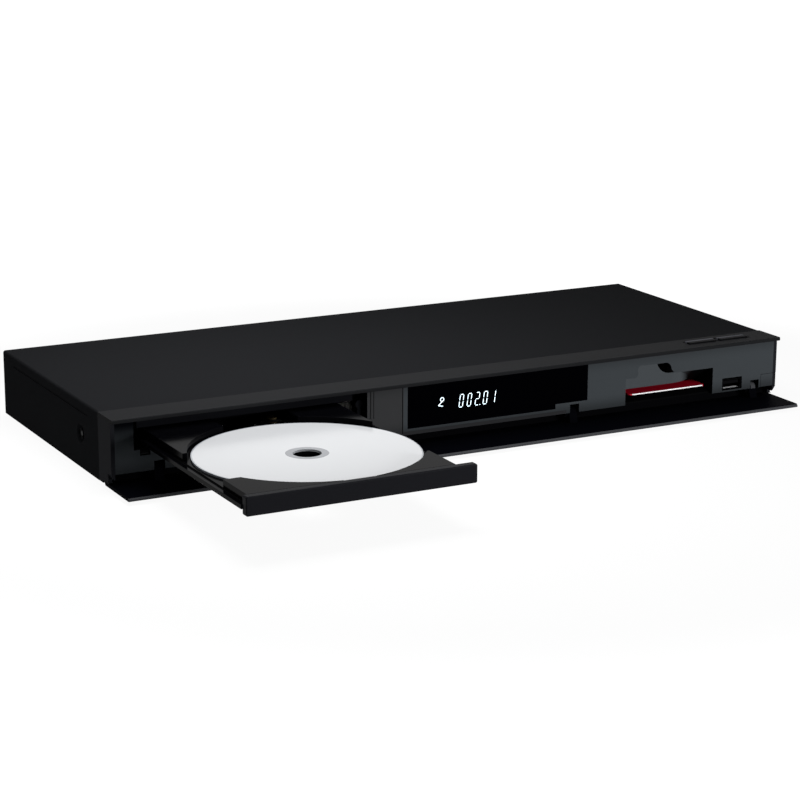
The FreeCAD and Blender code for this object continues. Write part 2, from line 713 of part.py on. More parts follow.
def hdmi_socket():
    """A flat shell with tapered lower corners and a contact tongue."""
    top = board_z + board_thick
    low, high, y0, y1 = top + 0.4, top + 6.4, rear_face - 12, rear_face + 0.6
    x = hdmi_x
    outline = [(x - 7.4, high), (x - 7.4, low + 2.2), (x - 5.4, low), (x + 5.4, low), (x + 7.4, low + 2.2), (x + 7.4, high)]
    inner = [(x - 6.9, high - 0.5), (x - 6.9, low + 2.4), (x - 5.2, low + 0.5), (x + 5.2, low + 0.5),
             (x + 6.9, low + 2.4), (x + 6.9, high - 0.5)]
    shell = front_plate(outline, y0, y1).cut(front_plate(inner, y0 + 2, y1 + 1))
    tongue = box(x - 5.4, x + 5.4, y0 + 1, y1 - 0.8, (low + high) / 2 - 0.2, (low + high) / 2 + 0.8)
    foot = box(x - 6, x + 6, y0 + 2, rear_face - sheet - 1, top, low + 0.2)
    return shell.fuse([tongue, foot])


def lan_socket():
    top = board_z + board_thick
    x, y0, y1 = lan_x, rear_face - 15, rear_face + 0.5
    shell = box(x - 8, x + 8, y0, y1, top, top + 13.5)
    plug_hole = box(x - 5.9, x + 5.9, y1 - 12, y1 + 1, top + 2.2, top + 9.6)
    latch_hole = box(x - 2.6, x + 2.6, y1 - 12, y1 + 1, top + 9.5, top + 12.2)
    return shell.cut([plug_hole, latch_hole])


def optical_socket():
    top = board_z + board_thick
    x, y0, y1 = optical_x, rear_face - 12, rear_face + 0.5
    shell = box(x - 5, x + 5, y0, y1, top, top + 10)
    return shell.cut(rounded(x - 3.2, x + 3.2, y1 - 5, y1 + 1, top + 1.6, top + 8, 1.0, "y"))


def power_parts():
    """Transformer, filter coil, capacitors, heat plates and fuse of the supply."""
    top = board_z + board_thick
    core = box(164, 186, 128, 150, top, top + 5).fuse([box(164, 186, 128, 150, top + 15, top + 20),
                                                      box(166, 184, 131, 147, top + 5, top + 15)])
    pieces = [core]
    for x, y, r, h in ((198, 116, 8.0, 24), (198, 138, 5, 20), (156, 110, 4, 16), (170, 106, 4, 16), (156, 158, 4, 12)):
        pieces.append(rod(x, y, top, r, h))
    pieces.append(box(152, 154, 122, 148, top, top + 22))
    pieces.append(box(176, 200, 104, 106, top, top + 20))
    pieces.append(rod(170, 158, top + 3, 2.6, 20, "x"))
    return Part.makeCompound(pieces)


def ac_inlet():
    """A two-pole inlet: a flanged housing with an eight-shaped well and two pins."""
    y0, y1 = rear_face - 17, rear_face + 1.2
    housing = box(inlet_x - 13.4, inlet_x + 13.4, y0, y1, inlet_z - 8, inlet_z + 8)
    lobes = [rod(inlet_x + x, y1 - 12.5, inlet_z, 4.3, 20, "y") for x in (-4.3, 4.3)]
    well = lobes[0].fuse([lobes[1], box(inlet_x - 4.3, inlet_x + 4.3, y1 - 12.5, y1 + 1, inlet_z - 3.0, inlet_z + 3.0)])
    pins = [rod(inlet_x + x, y1 - 13, inlet_z, 1.2, 10.5, "y") for x in (-4.3, 4.3)]
    leg = box(inlet_x - 8, inlet_x + 8, y0 + 1, y0 + 9, board_z + board_thick, inlet_z - 7.5)
    return housing.cut(well).fuse(pins + [leg])


def hard_drive():
    """A cast drive body with its lid, spindle cap and side screw bosses."""
    x0, x1 = drive_x - drive_length / 2, drive_x + drive_length / 2
    y0, y1 = drive_front, drive_front + drive_width
    lid = 1.2
    body = rounded(x0, x1, y0, y1, drive_z, drive_z + drive_height - lid, 3.0)
    cover = rounded(x0 + 2.5, x1 - 2.5, y0 + 2.5, y1 - 2.5, drive_z + drive_height - lid, drive_z + drive_height, 6.0)
    swell = rod(x0 + 52, (y0 + y1) / 2, drive_z + drive_height, 46.0, 0.6)
    socket = box(x1 - 8, x1 + 1, y0 + 30, y0 + 70, drive_z - 1, drive_z + 6)
    return body.fuse([cover, swell]).cut(socket)


def drive_bracket():
    """Two folded rails that hold the hard drive off the pan."""
    pieces = []
    x0, x1 = drive_x - drive_length / 2, drive_x + drive_length / 2
    y0, y1 = drive_front, drive_front + drive_width
    for y, side in ((y0, -1), (y1, 1)):
        wall = box(x0 + 6, x1 - 6, min(y, y + side * sheet), max(y, y + side * sheet), deck_z, drive_z + 12)
        shelf = box(x0 + 6, x1 - 6, min(y, y - side * 9), max(y, y - side * 9), drive_z - sheet, drive_z)
        for x in (x0 + 16, x1 - 16):
            shelf = shelf.fuse(box(x - 5, x + 5, min(y, y - side * 9), max(y, y - side * 9), deck_z, drive_z - sheet))
        passage = box(cable_left - 1, cable_left + 17, y0 - 2, y1 + 2, deck_z - 1, deck_z + 1.2)
        pieces.append(wall.fuse(shelf).cut(passage))
    return Part.makeCompound(pieces)


def fan_frame():
    """A square frame with a round duct, a hub and three struts."""
    y1 = rear_face - sheet
    y0 = y1 - fan_thick
    h = fan_size / 2
    frame = box(fan_x - h, fan_x + h, y0, y1, fan_z - h, fan_z + h)
    frame = frame.cut(rod(fan_x, y0 - 1, fan_z, 14.1, fan_thick + 2, "y"))
    hub = rod(fan_x, y1 - 1.4, fan_z, 6.0, 1.4, "y")
    struts = []
    for i in range(3):
        strut = box(fan_x, fan_x + 14.4, y1 - 1.4, y1, fan_z - 0.8, fan_z + 0.8)
        strut.rotate(Vector(fan_x, y1, fan_z), Vector(0, 1, 0), 120 * i + 30)
        struts.append(strut)
    shaft = rod(fan_x, y0 + 1.5, fan_z, 1.0, fan_thick - 2, "y")
    leg = box(fan_x - 10, fan_x + 10, y0, y1, deck_z, fan_z - h + 1)
    return frame.fuse([hub, shaft, leg] + struts)


def fan_rotor():
    """A cup on the fan shaft with seven pitched blades."""
    y0 = rear_face - sheet - fan_thick + 0.8
    cup = rod(fan_x, y0, fan_z, 6.4, 7.2, "y")
    blades = []
    for i in range(7):
        sections = []
        for radius, pitch, chord in ((6.0, 48, 6.0), (13.4, 32, 7.4)):
            a, t = math.radians(pitch), 0.4
            run, rise = chord / 2 * math.cos(a), chord / 2 * math.sin(a)
            off_x, off_y = t * math.sin(a), t * math.cos(a)
            middle = y0 + 3.6
            corners = [(-run - off_x, -rise + off_y), (run - off_x, rise + off_y), (run + off_x, rise - off_y),
                       (-run + off_x, -rise - off_y)]
            sections.append(Part.makePolygon([Vector(fan_x + u, middle + v, fan_z + radius) for u, v in
                                              corners + corners[:1]]))
        blade = Part.makeLoft(sections, True)
        blade.rotate(Vector(fan_x, 0, fan_z), Vector(0, 1, 0), 360 * i / 7)
        blades.append(blade)
    bore = rod(fan_x, y0 - 1, fan_z, 1.05, 10, "y")
    trim = rod(fan_x, y0 - 2, fan_z, 13.6, 12, "y")
    return cup.fuse(blades).cut(bore).common(trim)


def loader_frame():
    """The moulded base of the disc drive: walls, tray guides, shaft posts and front bar."""
    wall = 2.6
    floor_top = loader_floor + 2.0
    pieces = [
        box(loader_left, loader_right, loader_front, loader_back, loader_floor, floor_top),
        box(loader_left, loader_left + wall, loader_front, loader_back, floor_top, bridge_z),
        box(loader_right - 2, loader_right, loader_front, loader_back, floor_top, bridge_z),
        box(loader_left, loader_right, loader_back - wall, loader_back, floor_top, 24.0),
    ]
    guide = loader_left + wall
    reach = tray_left - 0.7
    pieces.append(box(guide, reach, loader_front, loader_back - wall, rail_low - 1.6, rail_low - slip))
    pieces.append(box(guide, reach, loader_front, 40, rail_top + slip, rail_top + 1.8))
    pieces.append(box(guide, reach, 120, 150, rail_top + slip, rail_top + 1.8))
    rib_x = tray_right - 3.2
    rib = box(rib_x, rib_x + 2.4, loader_front, loader_back - wall, floor_top, tray_low - slip)
    rib = rib.cut(box(rib_x - 1, rib_x + 4, belt_wheel_y - 12, belt_wheel_y + 12, belt_z - 2, belt_z + 4))
    pieces.append(rib)
    pieces.append(box(tray_right - 3.0, loader_right - 1, 36.5, 41, tray_top + 0.4, bridge_z))
    pieces.append(box(tray_right - 3.0, loader_right - 1, 128, 134, tray_top + 0.4, bridge_z))
    bar_low = tray_top + 0.5
    pieces.append(box(loader_left + 3, fascia_right - 1, 6.2, 8.2, bar_low, lip_under - 0.4))
    pieces.append(box(loader_left + 3, fascia_right - 1, 6.2, loader_front + 2, lip_under - 2.0, lip_under - 0.4))
    for x in (loader_left + 3, fascia_right - 4):
        pieces.append(box(x, x + 3, loader_front, loader_front + 2, bridge_z - 1.0, lip_under - 0.4))
    pieces.append(box(loader_left, loader_left + 6, loader_front, loader_front + 2, 30.0, lip_under - 0.4))
    pieces.append(box(fascia_right - 4, loader_right, loader_front, loader_front + 2, tray_top + 0.5, lip_under - 0.4))
    fin = rod(-66.2, loader_front - 5, 30.5, 2.4, 6, "y").fuse(box(-67.4, -65.0, loader_front - 5, loader_front + 1, 24, 30.5))
    pieces.append(fin)
    pieces.append(box(-67.2, -62.0, loader_front, loader_front + 2, floor_top, tray_top + 0.6))
    for x, y, top in ((gear_x, gear_y, 28.0), (gear_x, belt_wheel_y, 25.2)):
        pieces.append(rod(x, y, floor_top, post_radius, top - floor_top))
        pieces.append(rod(x, y, floor_top, 2.8, belt_z - 2.0 - floor_top))
    for x in (rod_left - 15.5, rod_right + 15.0):
        pieces.append(box(x - 2, x + 2, pivot_y - 5, pivot_y + 5, floor_top - 2, pivot_z + 4))
    for x, y in loader_feet:
        pieces.append(six_sided(x, y, deck_z, loader_floor, 4.2))
    frame = pieces[0].fuse(pieces[1:])
    cuts = [box(rod_left - 13, rod_right + 12.5, 49, 160, loader_floor - 1, floor_top + 0.5)]
    for x in (rod_left - 15.5, rod_right + 15.0):
        cuts.append(rod(x - 4, pivot_y, pivot_z, pivot_radius + 0.06, 8, "x"))
    cuts.append(rod(motor_x, belt_wheel_y, floor_top - 3, 3.4, 8))
    return frame.cut(cuts)


def clamp_bridge():
    """The steel bridge over the hub that carries the clamper."""
    plate = box(loader_left, loader_right, hub_y - 19, hub_y + 19, bridge_z, bridge_z + 1.0)
    lips = [box(loader_left + 6, loader_right - 6, y, y + 1.0, bridge_z + 1.0, bridge_z + 3.0)
            for y in (hub_y - 19, hub_y + 18)]
    beads = [bead(x, hub_y, 26, 4, bridge_z + 1.0, bridge_z + 1.5) for x in (disc_x - 36, disc_x + 36)]
    plate = plate.fuse(lips + beads)
    return plate.cut(rod(disc_x, hub_y, bridge_z - 1, clamper_radius + 1.0, 4))


def clamper():
    """The puck that holds the disc: a rim above the bridge and a hollow pad below."""
    low = disc_base + disc_thick + clamper_gap
    top = bridge_z + 1.0 + 0.15
    pad = rod(disc_x, hub_y, low, clamper_radius, top - low)
    rim = rod(disc_x, hub_y, top, clamper_radius + 3.5, 1.4)
    hub = rod(disc_x, hub_y, top + 1.4, 5.0, 1.2)
    hollow = cone(disc_x, hub_y, low - 0.01, 8.4, 5.0, 2.6)
    return pad.fuse([rim, hub]).cut(hollow)


def lowered(shape):
    """Turns a piece of the disc mechanism down about its rear pivots."""
    turned = shape.copy()
    turned.rotate(Vector(0, pivot_y, pivot_z), Vector(1, 0, 0), traverse_drop)
    return turned


def traverse_frame():
    """The plate that carries spindle and rails, with rim, rail blocks and pivot pins."""
    front, back = 52.0, pivot_y + 3
    plate = rounded(plate_left, plate_right, front, back, plate_z, plate_top, 5.0)
    window = box(rod_left + 3, rod_right - 3, hub_y + 14.5, pivot_y - 6, plate_z - 1, plate_top + 1)
    rim = rounded(plate_left, plate_right, front, back, plate_z - 2, plate_z, 5.0).cut(
        box(plate_left + 2.0, plate_right - 2.0, front + 2.0, back - 2.0, plate_z - 3, plate_z + 1))
    blocks = []
    for x in (rod_left, rod_right):
        for y in (hub_y + block_offset, pivot_y - 5.0):
            blocks.append(box(x - 3, x + 3, y, y + 4.6, plate_top, rod_z + 2.4))
    blocks.append(box(screw_x - 3, screw_x + 1.5, hub_y + block_offset, hub_y + block_offset + 3, plate_top, rod_z + 2.4))
    pins = [rod(plate_left - 8, pivot_y, pivot_z, pivot_radius, 10, "x"),
            rod(plate_right - 2, pivot_y, pivot_z, pivot_radius, 10.5, "x")]
    lugs = [box(plate_left, plate_left + 2, pivot_y - 3, pivot_y + 3, pivot_z - 3, plate_z),
            box(plate_right - 2, plate_right, pivot_y - 3, pivot_y + 3, pivot_z - 3, plate_z)]
    cuts = [window, rod(disc_x, hub_y, plate_z - 3, 3.2, 8)]
    cuts += [rod(x, hub_y + 5, rod_z, rod_radius, pivot_y, "y") for x in (rod_left, rod_right)]
    cuts.append(rod(screw_x, hub_y + 5, rod_z, spindle_radius + 0.06, 9, "y"))
    return plate.fuse([rim] + blocks + pins + lugs).cut(cuts)


def spindle_motor():
    base = rod(disc_x, hub_y, plate_z - 3.4, 12.5, 3.4)
    sleeve = rod(disc_x, hub_y, plate_z, 3.1, 3.5)
    can = rod(disc_x, hub_y, plate_top, 12.0, 1.2)
    bore = rod(disc_x, hub_y, plate_z - 2.4, spindle_radius + 0.05, 20)
    return base.fuse([sleeve, can]).cut(bore)


def turntable():
    """Shaft, rotor cup, table with rubber ring and centring cone."""
    top = disc_base - turntable_gap
    shaft = rod(disc_x, hub_y, plate_z - 2.2, spindle_radius, top - plate_z + 3)
    cup = rod(disc_x, hub_y, plate_top + 2.2, 11.6, 4.2)
    neck = rod(disc_x, hub_y, plate_top + 2.4, 4.5, top - plate_top - 3)
    table = rod(disc_x, hub_y, top - 2.0, turntable_radius, 2.0)
    ring = cone(disc_x, hub_y, top - 0.01, disc_hole - 0.25, disc_hole - 1.6, cone_height)
    cap = rod(disc_x, hub_y, top + 1.4, 3.6, 0.5)
    return shaft.fuse([cup, neck, table, ring, cap])


def guide_rods():
    start = hub_y + block_offset + 0.6
    length = pivot_y - 1.0 - start
    return Part.makeCompound([rod(x, start, rod_z, rod_radius, length, "y") for x in (rod_left, rod_right)])


def pickup_sled():
    """The sled on its two rails, open in the middle for the lens and forked at the screw."""
    play = 0.06
    x0, x1 = rod_left - 3.5, rod_right + 3.5
    y0, y1 = sled_y - sled_half, sled_y + sled_half
    body = rounded(x0, x1, y0, y1, rod_z - 2.6, rod_z + 3.6, 2.0)
    stage = box(disc_x - 12, disc_x + 12, y0 + 3, y1 - 3, rod_z + 3.6, rod_z + 6.0)
    fork = box(x1 - 1, screw_x - spindle_radius - 0.25, sled_y - 5, sled_y + 5, rod_z - 2.4, rod_z + 2.4)
    well = box(disc_x - 6.5, disc_x + 6.5, sled_y - 6.5, sled_y + 6.5, rod_z + 1, rod_z + 8)
    bay = rod(disc_x, hub_y + sled_y - sled_inner, rod_z - 4, 13.4, 8 + 4)
    bores = [rod(x, y0 - 1, rod_z, rod_radius + play, 2 * sled_half + 2, "y") for x in (rod_left, rod_right)]
    return body.fuse([stage, fork]).cut([well, bay] + bores)


def objective_lens():
    """The lens in its square holder, which sits in the sled's well."""
    holder = rounded(disc_x - 4.5, disc_x + 4.5, sled_y - 6.5, sled_y + 6.5, rod_z + 1, rod_z + 7.2, 1.2)
    dome = Part.makeSphere(5.0, Vector(disc_x, sled_y, rod_z + 3.3)).common(
        rod(disc_x, sled_y, rod_z + 7.1, 2.4, 3))
    return holder.fuse(dome)


def lead_screw():
    """A straight shaft from the motor to a thinner journal in the bearing block."""
    y0, y1 = hub_y + block_offset + 0.2, pivot_y - 9.2
    shaft = rod(screw_x, y0, rod_z, spindle_radius, y1 - y0, "y")
    journal = 4.0
    neck = rod(screw_x, y0 - 1, rod_z, spindle_radius + 1, journal + 1, "y")
    neck = neck.cut(rod(screw_x, y0 - 2, rod_z, spindle_radius - 0.15, journal + 3, "y"))
    return shaft.cut(neck)


def sled_motor():
    y0 = pivot_y - 9.0
    return rounded(screw_x - 4.6, screw_x + 1.4, y0, y0 + 9.0, plate_top, rod_z + 4.6, 1.0, "y")


def loading_motor():
    """A flat can motor in the floor below the belt."""
    top = belt_z - 2.4
    can = rod(motor_x, belt_wheel_y, loader_floor + 2.0, 10.5, top - loader_floor - 3.2)
    can = can.fuse(cone(motor_x, belt_wheel_y, top - 1.2, 10.5, 9.4, 1.2))
    bush = rod(motor_x, belt_wheel_y, top, 2.6, 0.8)
    return can.fuse(bush).cut(rod(motor_x, belt_wheel_y, top - 4, 0.85, 10))


def grooved_wheel(x, y, radius, z0, z1, bore):
    """A pulley with a square groove whose floor is at the given radius."""
    wheel = rod(x, y, z0, radius + 1.0, z1 - z0)
    middle = (z0 + z1) / 2
    groove = rod(x, y, middle - 0.75, radius + 2, 1.5).cut(rod(x, y, middle - 1, radius, 2))
    return wheel.cut([groove, rod(x, y, z0 - 1, bore, z1 - z0 + 2)])


def motor_pulley():
    pulley = grooved_wheel(motor_x, belt_wheel_y, motor_pulley_radius, belt_z - 1.4, belt_z + 1.4 + 0.6, 0.1)
    return pulley.fuse(rod(motor_x, belt_wheel_y, belt_z - 6.0, 0.8, 8))


def drive_belt():
    """A square belt round both pulleys, straight between its two arcs."""
    gap = 0.06
    a, b = motor_x, gear_x
    distance = b - a

    def loop(offset):
        small, large = motor_pulley_radius + offset, belt_wheel_radius + offset
        angle = math.acos((small - large) / distance)
        points = []
        for i in range(13):
            t = angle + (2 * math.pi - 2 * angle) * i / 12
            points.append((a + small * math.cos(t), belt_wheel_y + small * math.sin(t)))
        for i in range(25):
            t = -angle + 2 * angle * i / 24
            points.append((b + large * math.cos(t), belt_wheel_y + large * math.sin(t)))
        return points

    middle = belt_z + 0.3
    low, high = middle - belt_square / 2, middle + belt_square / 2
    sagitta = 0.09
    return flat_plate(loop(gap + sagitta + belt_square), low, high).cut(flat_plate(loop(gap + sagitta), low - 1, high + 1))


def belt_wheel():
    """The belt pulley with its pinion above, one piece on its post."""
    x, y = gear_x, belt_wheel_y
    bore = post_radius + gear_play
    pulley = grooved_wheel(x, y, belt_wheel_radius, belt_z - 1.4, belt_z + 1.4 + 0.6, bore)
    pinion = gear(belt_pinion_teeth, wheel_module, math.pi / belt_pinion_teeth - math.pi / 2, x, y, belt_z + 2.0, 24.9, bore)
    return pulley.fuse(pinion)


def tray_gear():
    """The wheel that the pinion turns, with the tray pinion above, one piece on its post."""
    x, y = gear_x, gear_y
    bore = post_radius + gear_play
    wheel = gear(wheel_teeth, wheel_module, math.pi / 2, x, y, wheel_z, 24.8, bore)
    pinion = gear(tray_pinion_teeth, rack_module, math.pi, x, y, 24.8, rail_top - 0.1, bore)
    hub = rod(x, y, belt_z - 1.9, 2.6, wheel_z - belt_z + 1.9).cut(rod(x, y, belt_z - 3, bore, 8))
    return wheel.fuse([pinion, hub])


def rack_teeth():
    """A straight rack on the tray's right rail; a gap faces the gear when the tray is out."""
    pitch = math.pi * rack_module
    tip, root = rack_line + 0.85 * rack_module, rack_line - 1.15 * rack_module
    slope = math.tan(math.radians(20))
    half_line = (pitch / 2 - backlash) / 2
    half_tip = half_line - 0.85 * rack_module * slope
    half_root = half_line + 1.15 * rack_module * slope
    first = math.ceil((tray_out + 14.0 - gear_y) / pitch)
    last = math.floor((tray_back - 1.5 - gear_y) / pitch)
    back = tray_right - 0.5
    points = [(back, tray_out + tray_fascia_thick), (root, tray_out + tray_fascia_thick)]
    for tooth in range(first, last):
        y = gear_y + (tooth + 0.5) * pitch
        points += [(root, y - half_root), (tip, y - half_tip), (tip, y + half_tip), (root, y + half_root)]
    points += [(root, tray_back), (back, tray_back)]
    return flat_plate(points, rail_low, rail_top - 0.1)


def disc_tray():
    """The tray: stepped disc pocket between four raised corners, pickup slot, rails and rack."""
    front, back = tray_out + tray_fascia_thick, tray_back
    y_hub = hub_out_y
    body = box(tray_left, tray_right, front, back, tray_low, tray_top)
    relief_front, relief_back = y_hub - 33.2, y_hub + 18.7
    slot_half = 22.0
    wall = 1.6
    ring = pocket_radius + wall
    cuts = [
        rod(disc_x, y_hub, disc_base, pocket_radius, 20),
        rod(disc_x, y_hub, disc_base - inner_pocket_drop, inner_pocket_radius, 20),
        box(tray_left - 1, tray_right + 1, relief_front, relief_back, disc_base, tray_top + 1),
        rod(disc_x, y_hub, tray_low - 1, slot_half, 20),
        box(disc_x - slot_half, disc_x + slot_half, y_hub, back - 7, tray_low - 1, tray_top + 1),
        box(disc_x - slot_half, disc_x + slot_half, back - 7.1, back + 1, 28.0, tray_top + 1),
        box(disc_x - slot_half, disc_x + slot_half, back - 7.1, back + 1, tray_low - 1, tray_low + 0.6),
    ]
    for y0, y1 in ((front + wall, relief_front - wall), (relief_back + wall, back - wall)):
        hollow = box(tray_left + wall, tray_right - wall, y0, y1, tray_low - 1, tray_top - wall)
        hollow = hollow.cut([rod(disc_x, y_hub, tray_low - 2, ring, 20),
                             box(disc_x - slot_half - wall, disc_x + slot_half + wall, y_hub, back + 1, 0, 60)])
        cuts.append(hollow)
    underside = box(tray_left + wall, tray_right - wall, front + wall, back - wall, tray_low - 1, tray_under)
    keep = [rod(disc_x, y_hub, tray_low - 2, slot_half + wall, 20),
            box(disc_x - slot_half - wall, disc_x + slot_half + wall, y_hub, back + 1, 0, 60),
            rod(disc_x, y_hub, 0, inner_pocket_radius + wall, 60).cut(rod(disc_x, y_hub, -1, inner_pocket_radius, 62))]
    cuts.append(underside.cut(keep))
    left_rail = box(tray_left - 2.9, tray_left + 0.1, front, back, rail_low, rail_top)
    thumb = [rod(disc_x, y_hub - pocket_radius, disc_base - 0.4, 9.0, 20)]
    return body.cut(cuts).cut(thumb).fuse([left_rail, rack_teeth()])


def tray_fascia():
    """The tray's own front with rounded ends and a softened upper edge."""
    y0, y1 = tray_out, tray_out + tray_fascia_thick
    front = rounded(fascia_left, fascia_right, y0, y1, tray_fascia_low, tray_top, 1.0, "y")
    edges = [e for e in front.Edges if e.CenterOfMass.y < y0 + 0.01 and e.Length > 100]
    front = front.makeFillet(0.7, edges)
    hollow = box(fascia_left + 1.8, fascia_right - 1.8, y0 + 2.0, y1 + 1, tray_fascia_low + 1.5, tray_low - 0.6)
    end = box(tray_right + 1.5, fascia_right - 1.8, y0 + 2.0, y1 + 1, tray_fascia_low + 1.5, tray_top - 1.6)
    return front.cut([hollow, end])


def disc():
    """A 120 mm disc with its hub hole."""
    y_hub = hub_out_y
    plate = rod(disc_x, y_hub, disc_base, disc_radius, disc_thick)
    return plate.cut(rod(disc_x, y_hub, disc_base - 2, disc_hole, 6))


def ribbon_cable():
    """A flat cable from the display board down along the pan to the main board."""
    thick = 0.3
    y0, z0 = display_board_y + 5.0, 16.5
    drop, low, far = 24.8, deck_z + 0.2, 134.0
    points = [(y0, z0), (drop, z0), (drop, low + thick), (far, low + thick), (far, board_z), (far + thick, board_z),
              (far + thick, low), (drop - thick, low), (drop - thick, z0 - thick), (y0, z0 - thick)]
    return side_plate(points, cable_left, cable_left + 16.0)


PIECES = {
    "top_cover": top_cover,
    "bottom_pan": bottom_pan,
    "rear_panel": rear_panel,
    "front_fascia": front_fascia,
    "front_flap": front_flap,
    "flap_pins": flap_pins,
    "display_window": display_window,
    "display_module": display_module,
    "front_board": front_board,
    "switch_board": switch_board,
    "click_switches": click_switches,
    "flap_latch": flap_latch,
    "corner_cover": corner_cover,
    "card_reader": card_reader,
    "access_card": access_card,
    "usb_socket": usb_socket,
    "usb_board": usb_board,
    "feet": feet,
    "main_board": main_board,
    "power_board": power_board,
    "board_parts": board_parts,
    "heat_sink": heat_sink,
    "tuner_box": tuner_box,
    "antenna_terminals": antenna_terminals,
    "hdmi_socket": hdmi_socket,
    "lan_socket": lan_socket,
    "optical_socket": optical_socket,
    "power_parts": power_parts,
    "ac_inlet": ac_inlet,
    "hard_drive": hard_drive,
    "drive_bracket": drive_bracket,
    "fan_frame": fan_frame,
    "fan_rotor": fan_rotor,
    "loader_frame": loader_frame,
    "clamp_bridge": clamp_bridge,
    "clamper": clamper,
    "loading_motor": loading_motor,
    "motor_pulley": motor_pulley,
    "drive_belt": drive_belt,
    "belt_wheel": belt_wheel,
    "tray_gear": tray_gear,
    "disc_tray": disc_tray,
    "tray_fascia": tray_fascia,
    "disc": disc,
    "ribbon_cable": ribbon_cable,
}
LOWERED_PIECES = {
    "traverse_frame": traverse_frame,
    "spindle_motor": spindle_motor,
    "turntable": turntable,
    "guide_rods": guide_rods,
    "pickup_sled": pickup_sled,
    "objective_lens": objective_lens,
    "lead_screw": lead_screw,
    "sled_motor": sled_motor,
}

os.makedirs("parts", exist_ok=True)
for name, make in PIECES.items():
    save(name, make())
for name, make in LOWERED_PIECES.items():
    save(name, lowered(make()))
save("power_button", top_button(button_places[0]))
save("eject_button", top_button(button_places[1]))

print(f"solids {solid_count}, origin is {origin_y:.3f} behind the lip")
print(f"flap pins at y {pin_y - origin_y:.3f}, z {pin_z:.3f}")
print(f"hub when closed y {hub_y - origin_y:.3f}, gear x {gear_x:.3f}")
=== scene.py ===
import bpy
import bmesh
import json
import numpy as np
from math import cos, pi, radians, sin
from mathutils import Matrix, Vector


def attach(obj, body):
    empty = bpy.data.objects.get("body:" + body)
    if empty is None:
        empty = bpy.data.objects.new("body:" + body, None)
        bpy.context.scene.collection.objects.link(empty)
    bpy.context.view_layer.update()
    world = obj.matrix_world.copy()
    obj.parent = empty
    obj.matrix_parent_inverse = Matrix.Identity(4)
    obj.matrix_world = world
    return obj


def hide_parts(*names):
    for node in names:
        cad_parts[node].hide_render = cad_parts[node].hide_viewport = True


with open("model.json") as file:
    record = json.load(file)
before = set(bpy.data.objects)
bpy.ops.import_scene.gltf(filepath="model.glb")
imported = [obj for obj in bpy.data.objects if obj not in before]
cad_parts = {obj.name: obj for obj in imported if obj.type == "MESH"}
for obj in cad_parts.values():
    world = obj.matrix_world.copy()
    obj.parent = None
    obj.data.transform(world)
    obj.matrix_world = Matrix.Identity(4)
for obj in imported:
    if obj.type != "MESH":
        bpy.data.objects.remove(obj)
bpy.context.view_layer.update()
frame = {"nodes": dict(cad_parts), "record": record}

nodes = frame["nodes"]
record = frame["record"]
bodyOf = {node: body for body, members in record["behaviour"]["bodies"].items() for node in members}
slotOf = {part["node"]: part["material_slot"] for part in record["subparts"]}
recordSlots = {entry["slot"] for entry in record["materials"]}
originBack = 26.75  # how far the model's origin lies behind the front of the lip, in mm
print("stage: frame loaded,", len(nodes), "nodes")


# Sizes below are in mm: X from the middle, Y back from the lip's front, Z up from the floor; mm() makes them metres
def mm(points):
    return (np.asarray(points, float) - [0, originBack, 0]) / 1000


camera = {
    "place": (-630.6097, -1119.0048, 361.4172), "azimuth": -27.632045, "elevation": 14.602345, "roll": 0.181376,
    "lens": 105.481032, "sensor": 36.0, "near": 0.05, "far": 30.0,
}


def placeCamera(s):
    data = bpy.data.cameras.new("photoCamera")
    data.lens, data.sensor_width, data.sensor_fit = s["lens"], s["sensor"], "HORIZONTAL"
    data.clip_start, data.clip_end = s["near"], s["far"]
    obj = bpy.data.objects.new("photoCamera", data)
    bpy.context.scene.collection.objects.link(obj)
    az, el, roll = (radians(s[name]) for name in ("azimuth", "elevation", "roll"))
    back = Vector((sin(az) * cos(el), -cos(az) * cos(el), sin(el)))
    right = Vector((0, 0, 1)).cross(back).normalized()
    up = back.cross(right)
    turned = (right * cos(roll) + up * sin(roll), up * cos(roll) - right * sin(roll), back)
    obj.matrix_world = Matrix.Translation(mm(s["place"])) @ Matrix(turned).transposed().to_4x4()
    bpy.context.scene.camera = obj


placeCamera(camera)
bpy.context.scene.view_settings.view_transform = "Standard"


# A shader socket that adds, multiplies and compares, so that a mask reads as a sum
class Value:
    def __init__(self, finish, socket):
        self.finish = finish
        self.socket = socket

    def joined(self, operation, first, second):
        return self.finish.node("ShaderNodeMath", {"operation": operation}, {0: first, 1: second})

    def __add__(self, other):
        return self.joined("ADD", self, other)

    def __sub__(self, other):
        return self.joined("SUBTRACT", self, other)

    def __rsub__(self, other):
        return self.joined("SUBTRACT", other, self)

    def __mul__(self, other):
        return self.joined("MULTIPLY", self, other)

    def __or__(self, other):  # the larger of the two
        return self.joined("MAXIMUM", self, other)

    def __lt__(self, other):
        return self.joined("LESS_THAN", self, other)

    def __gt__(self, other):
        return self.joined("GREATER_THAN", self, other)

    def __abs__(self):
        return self.joined("ABSOLUTE", self, 0.0)

    __radd__, __rmul__, __ror__ = __add__, __mul__, __or__


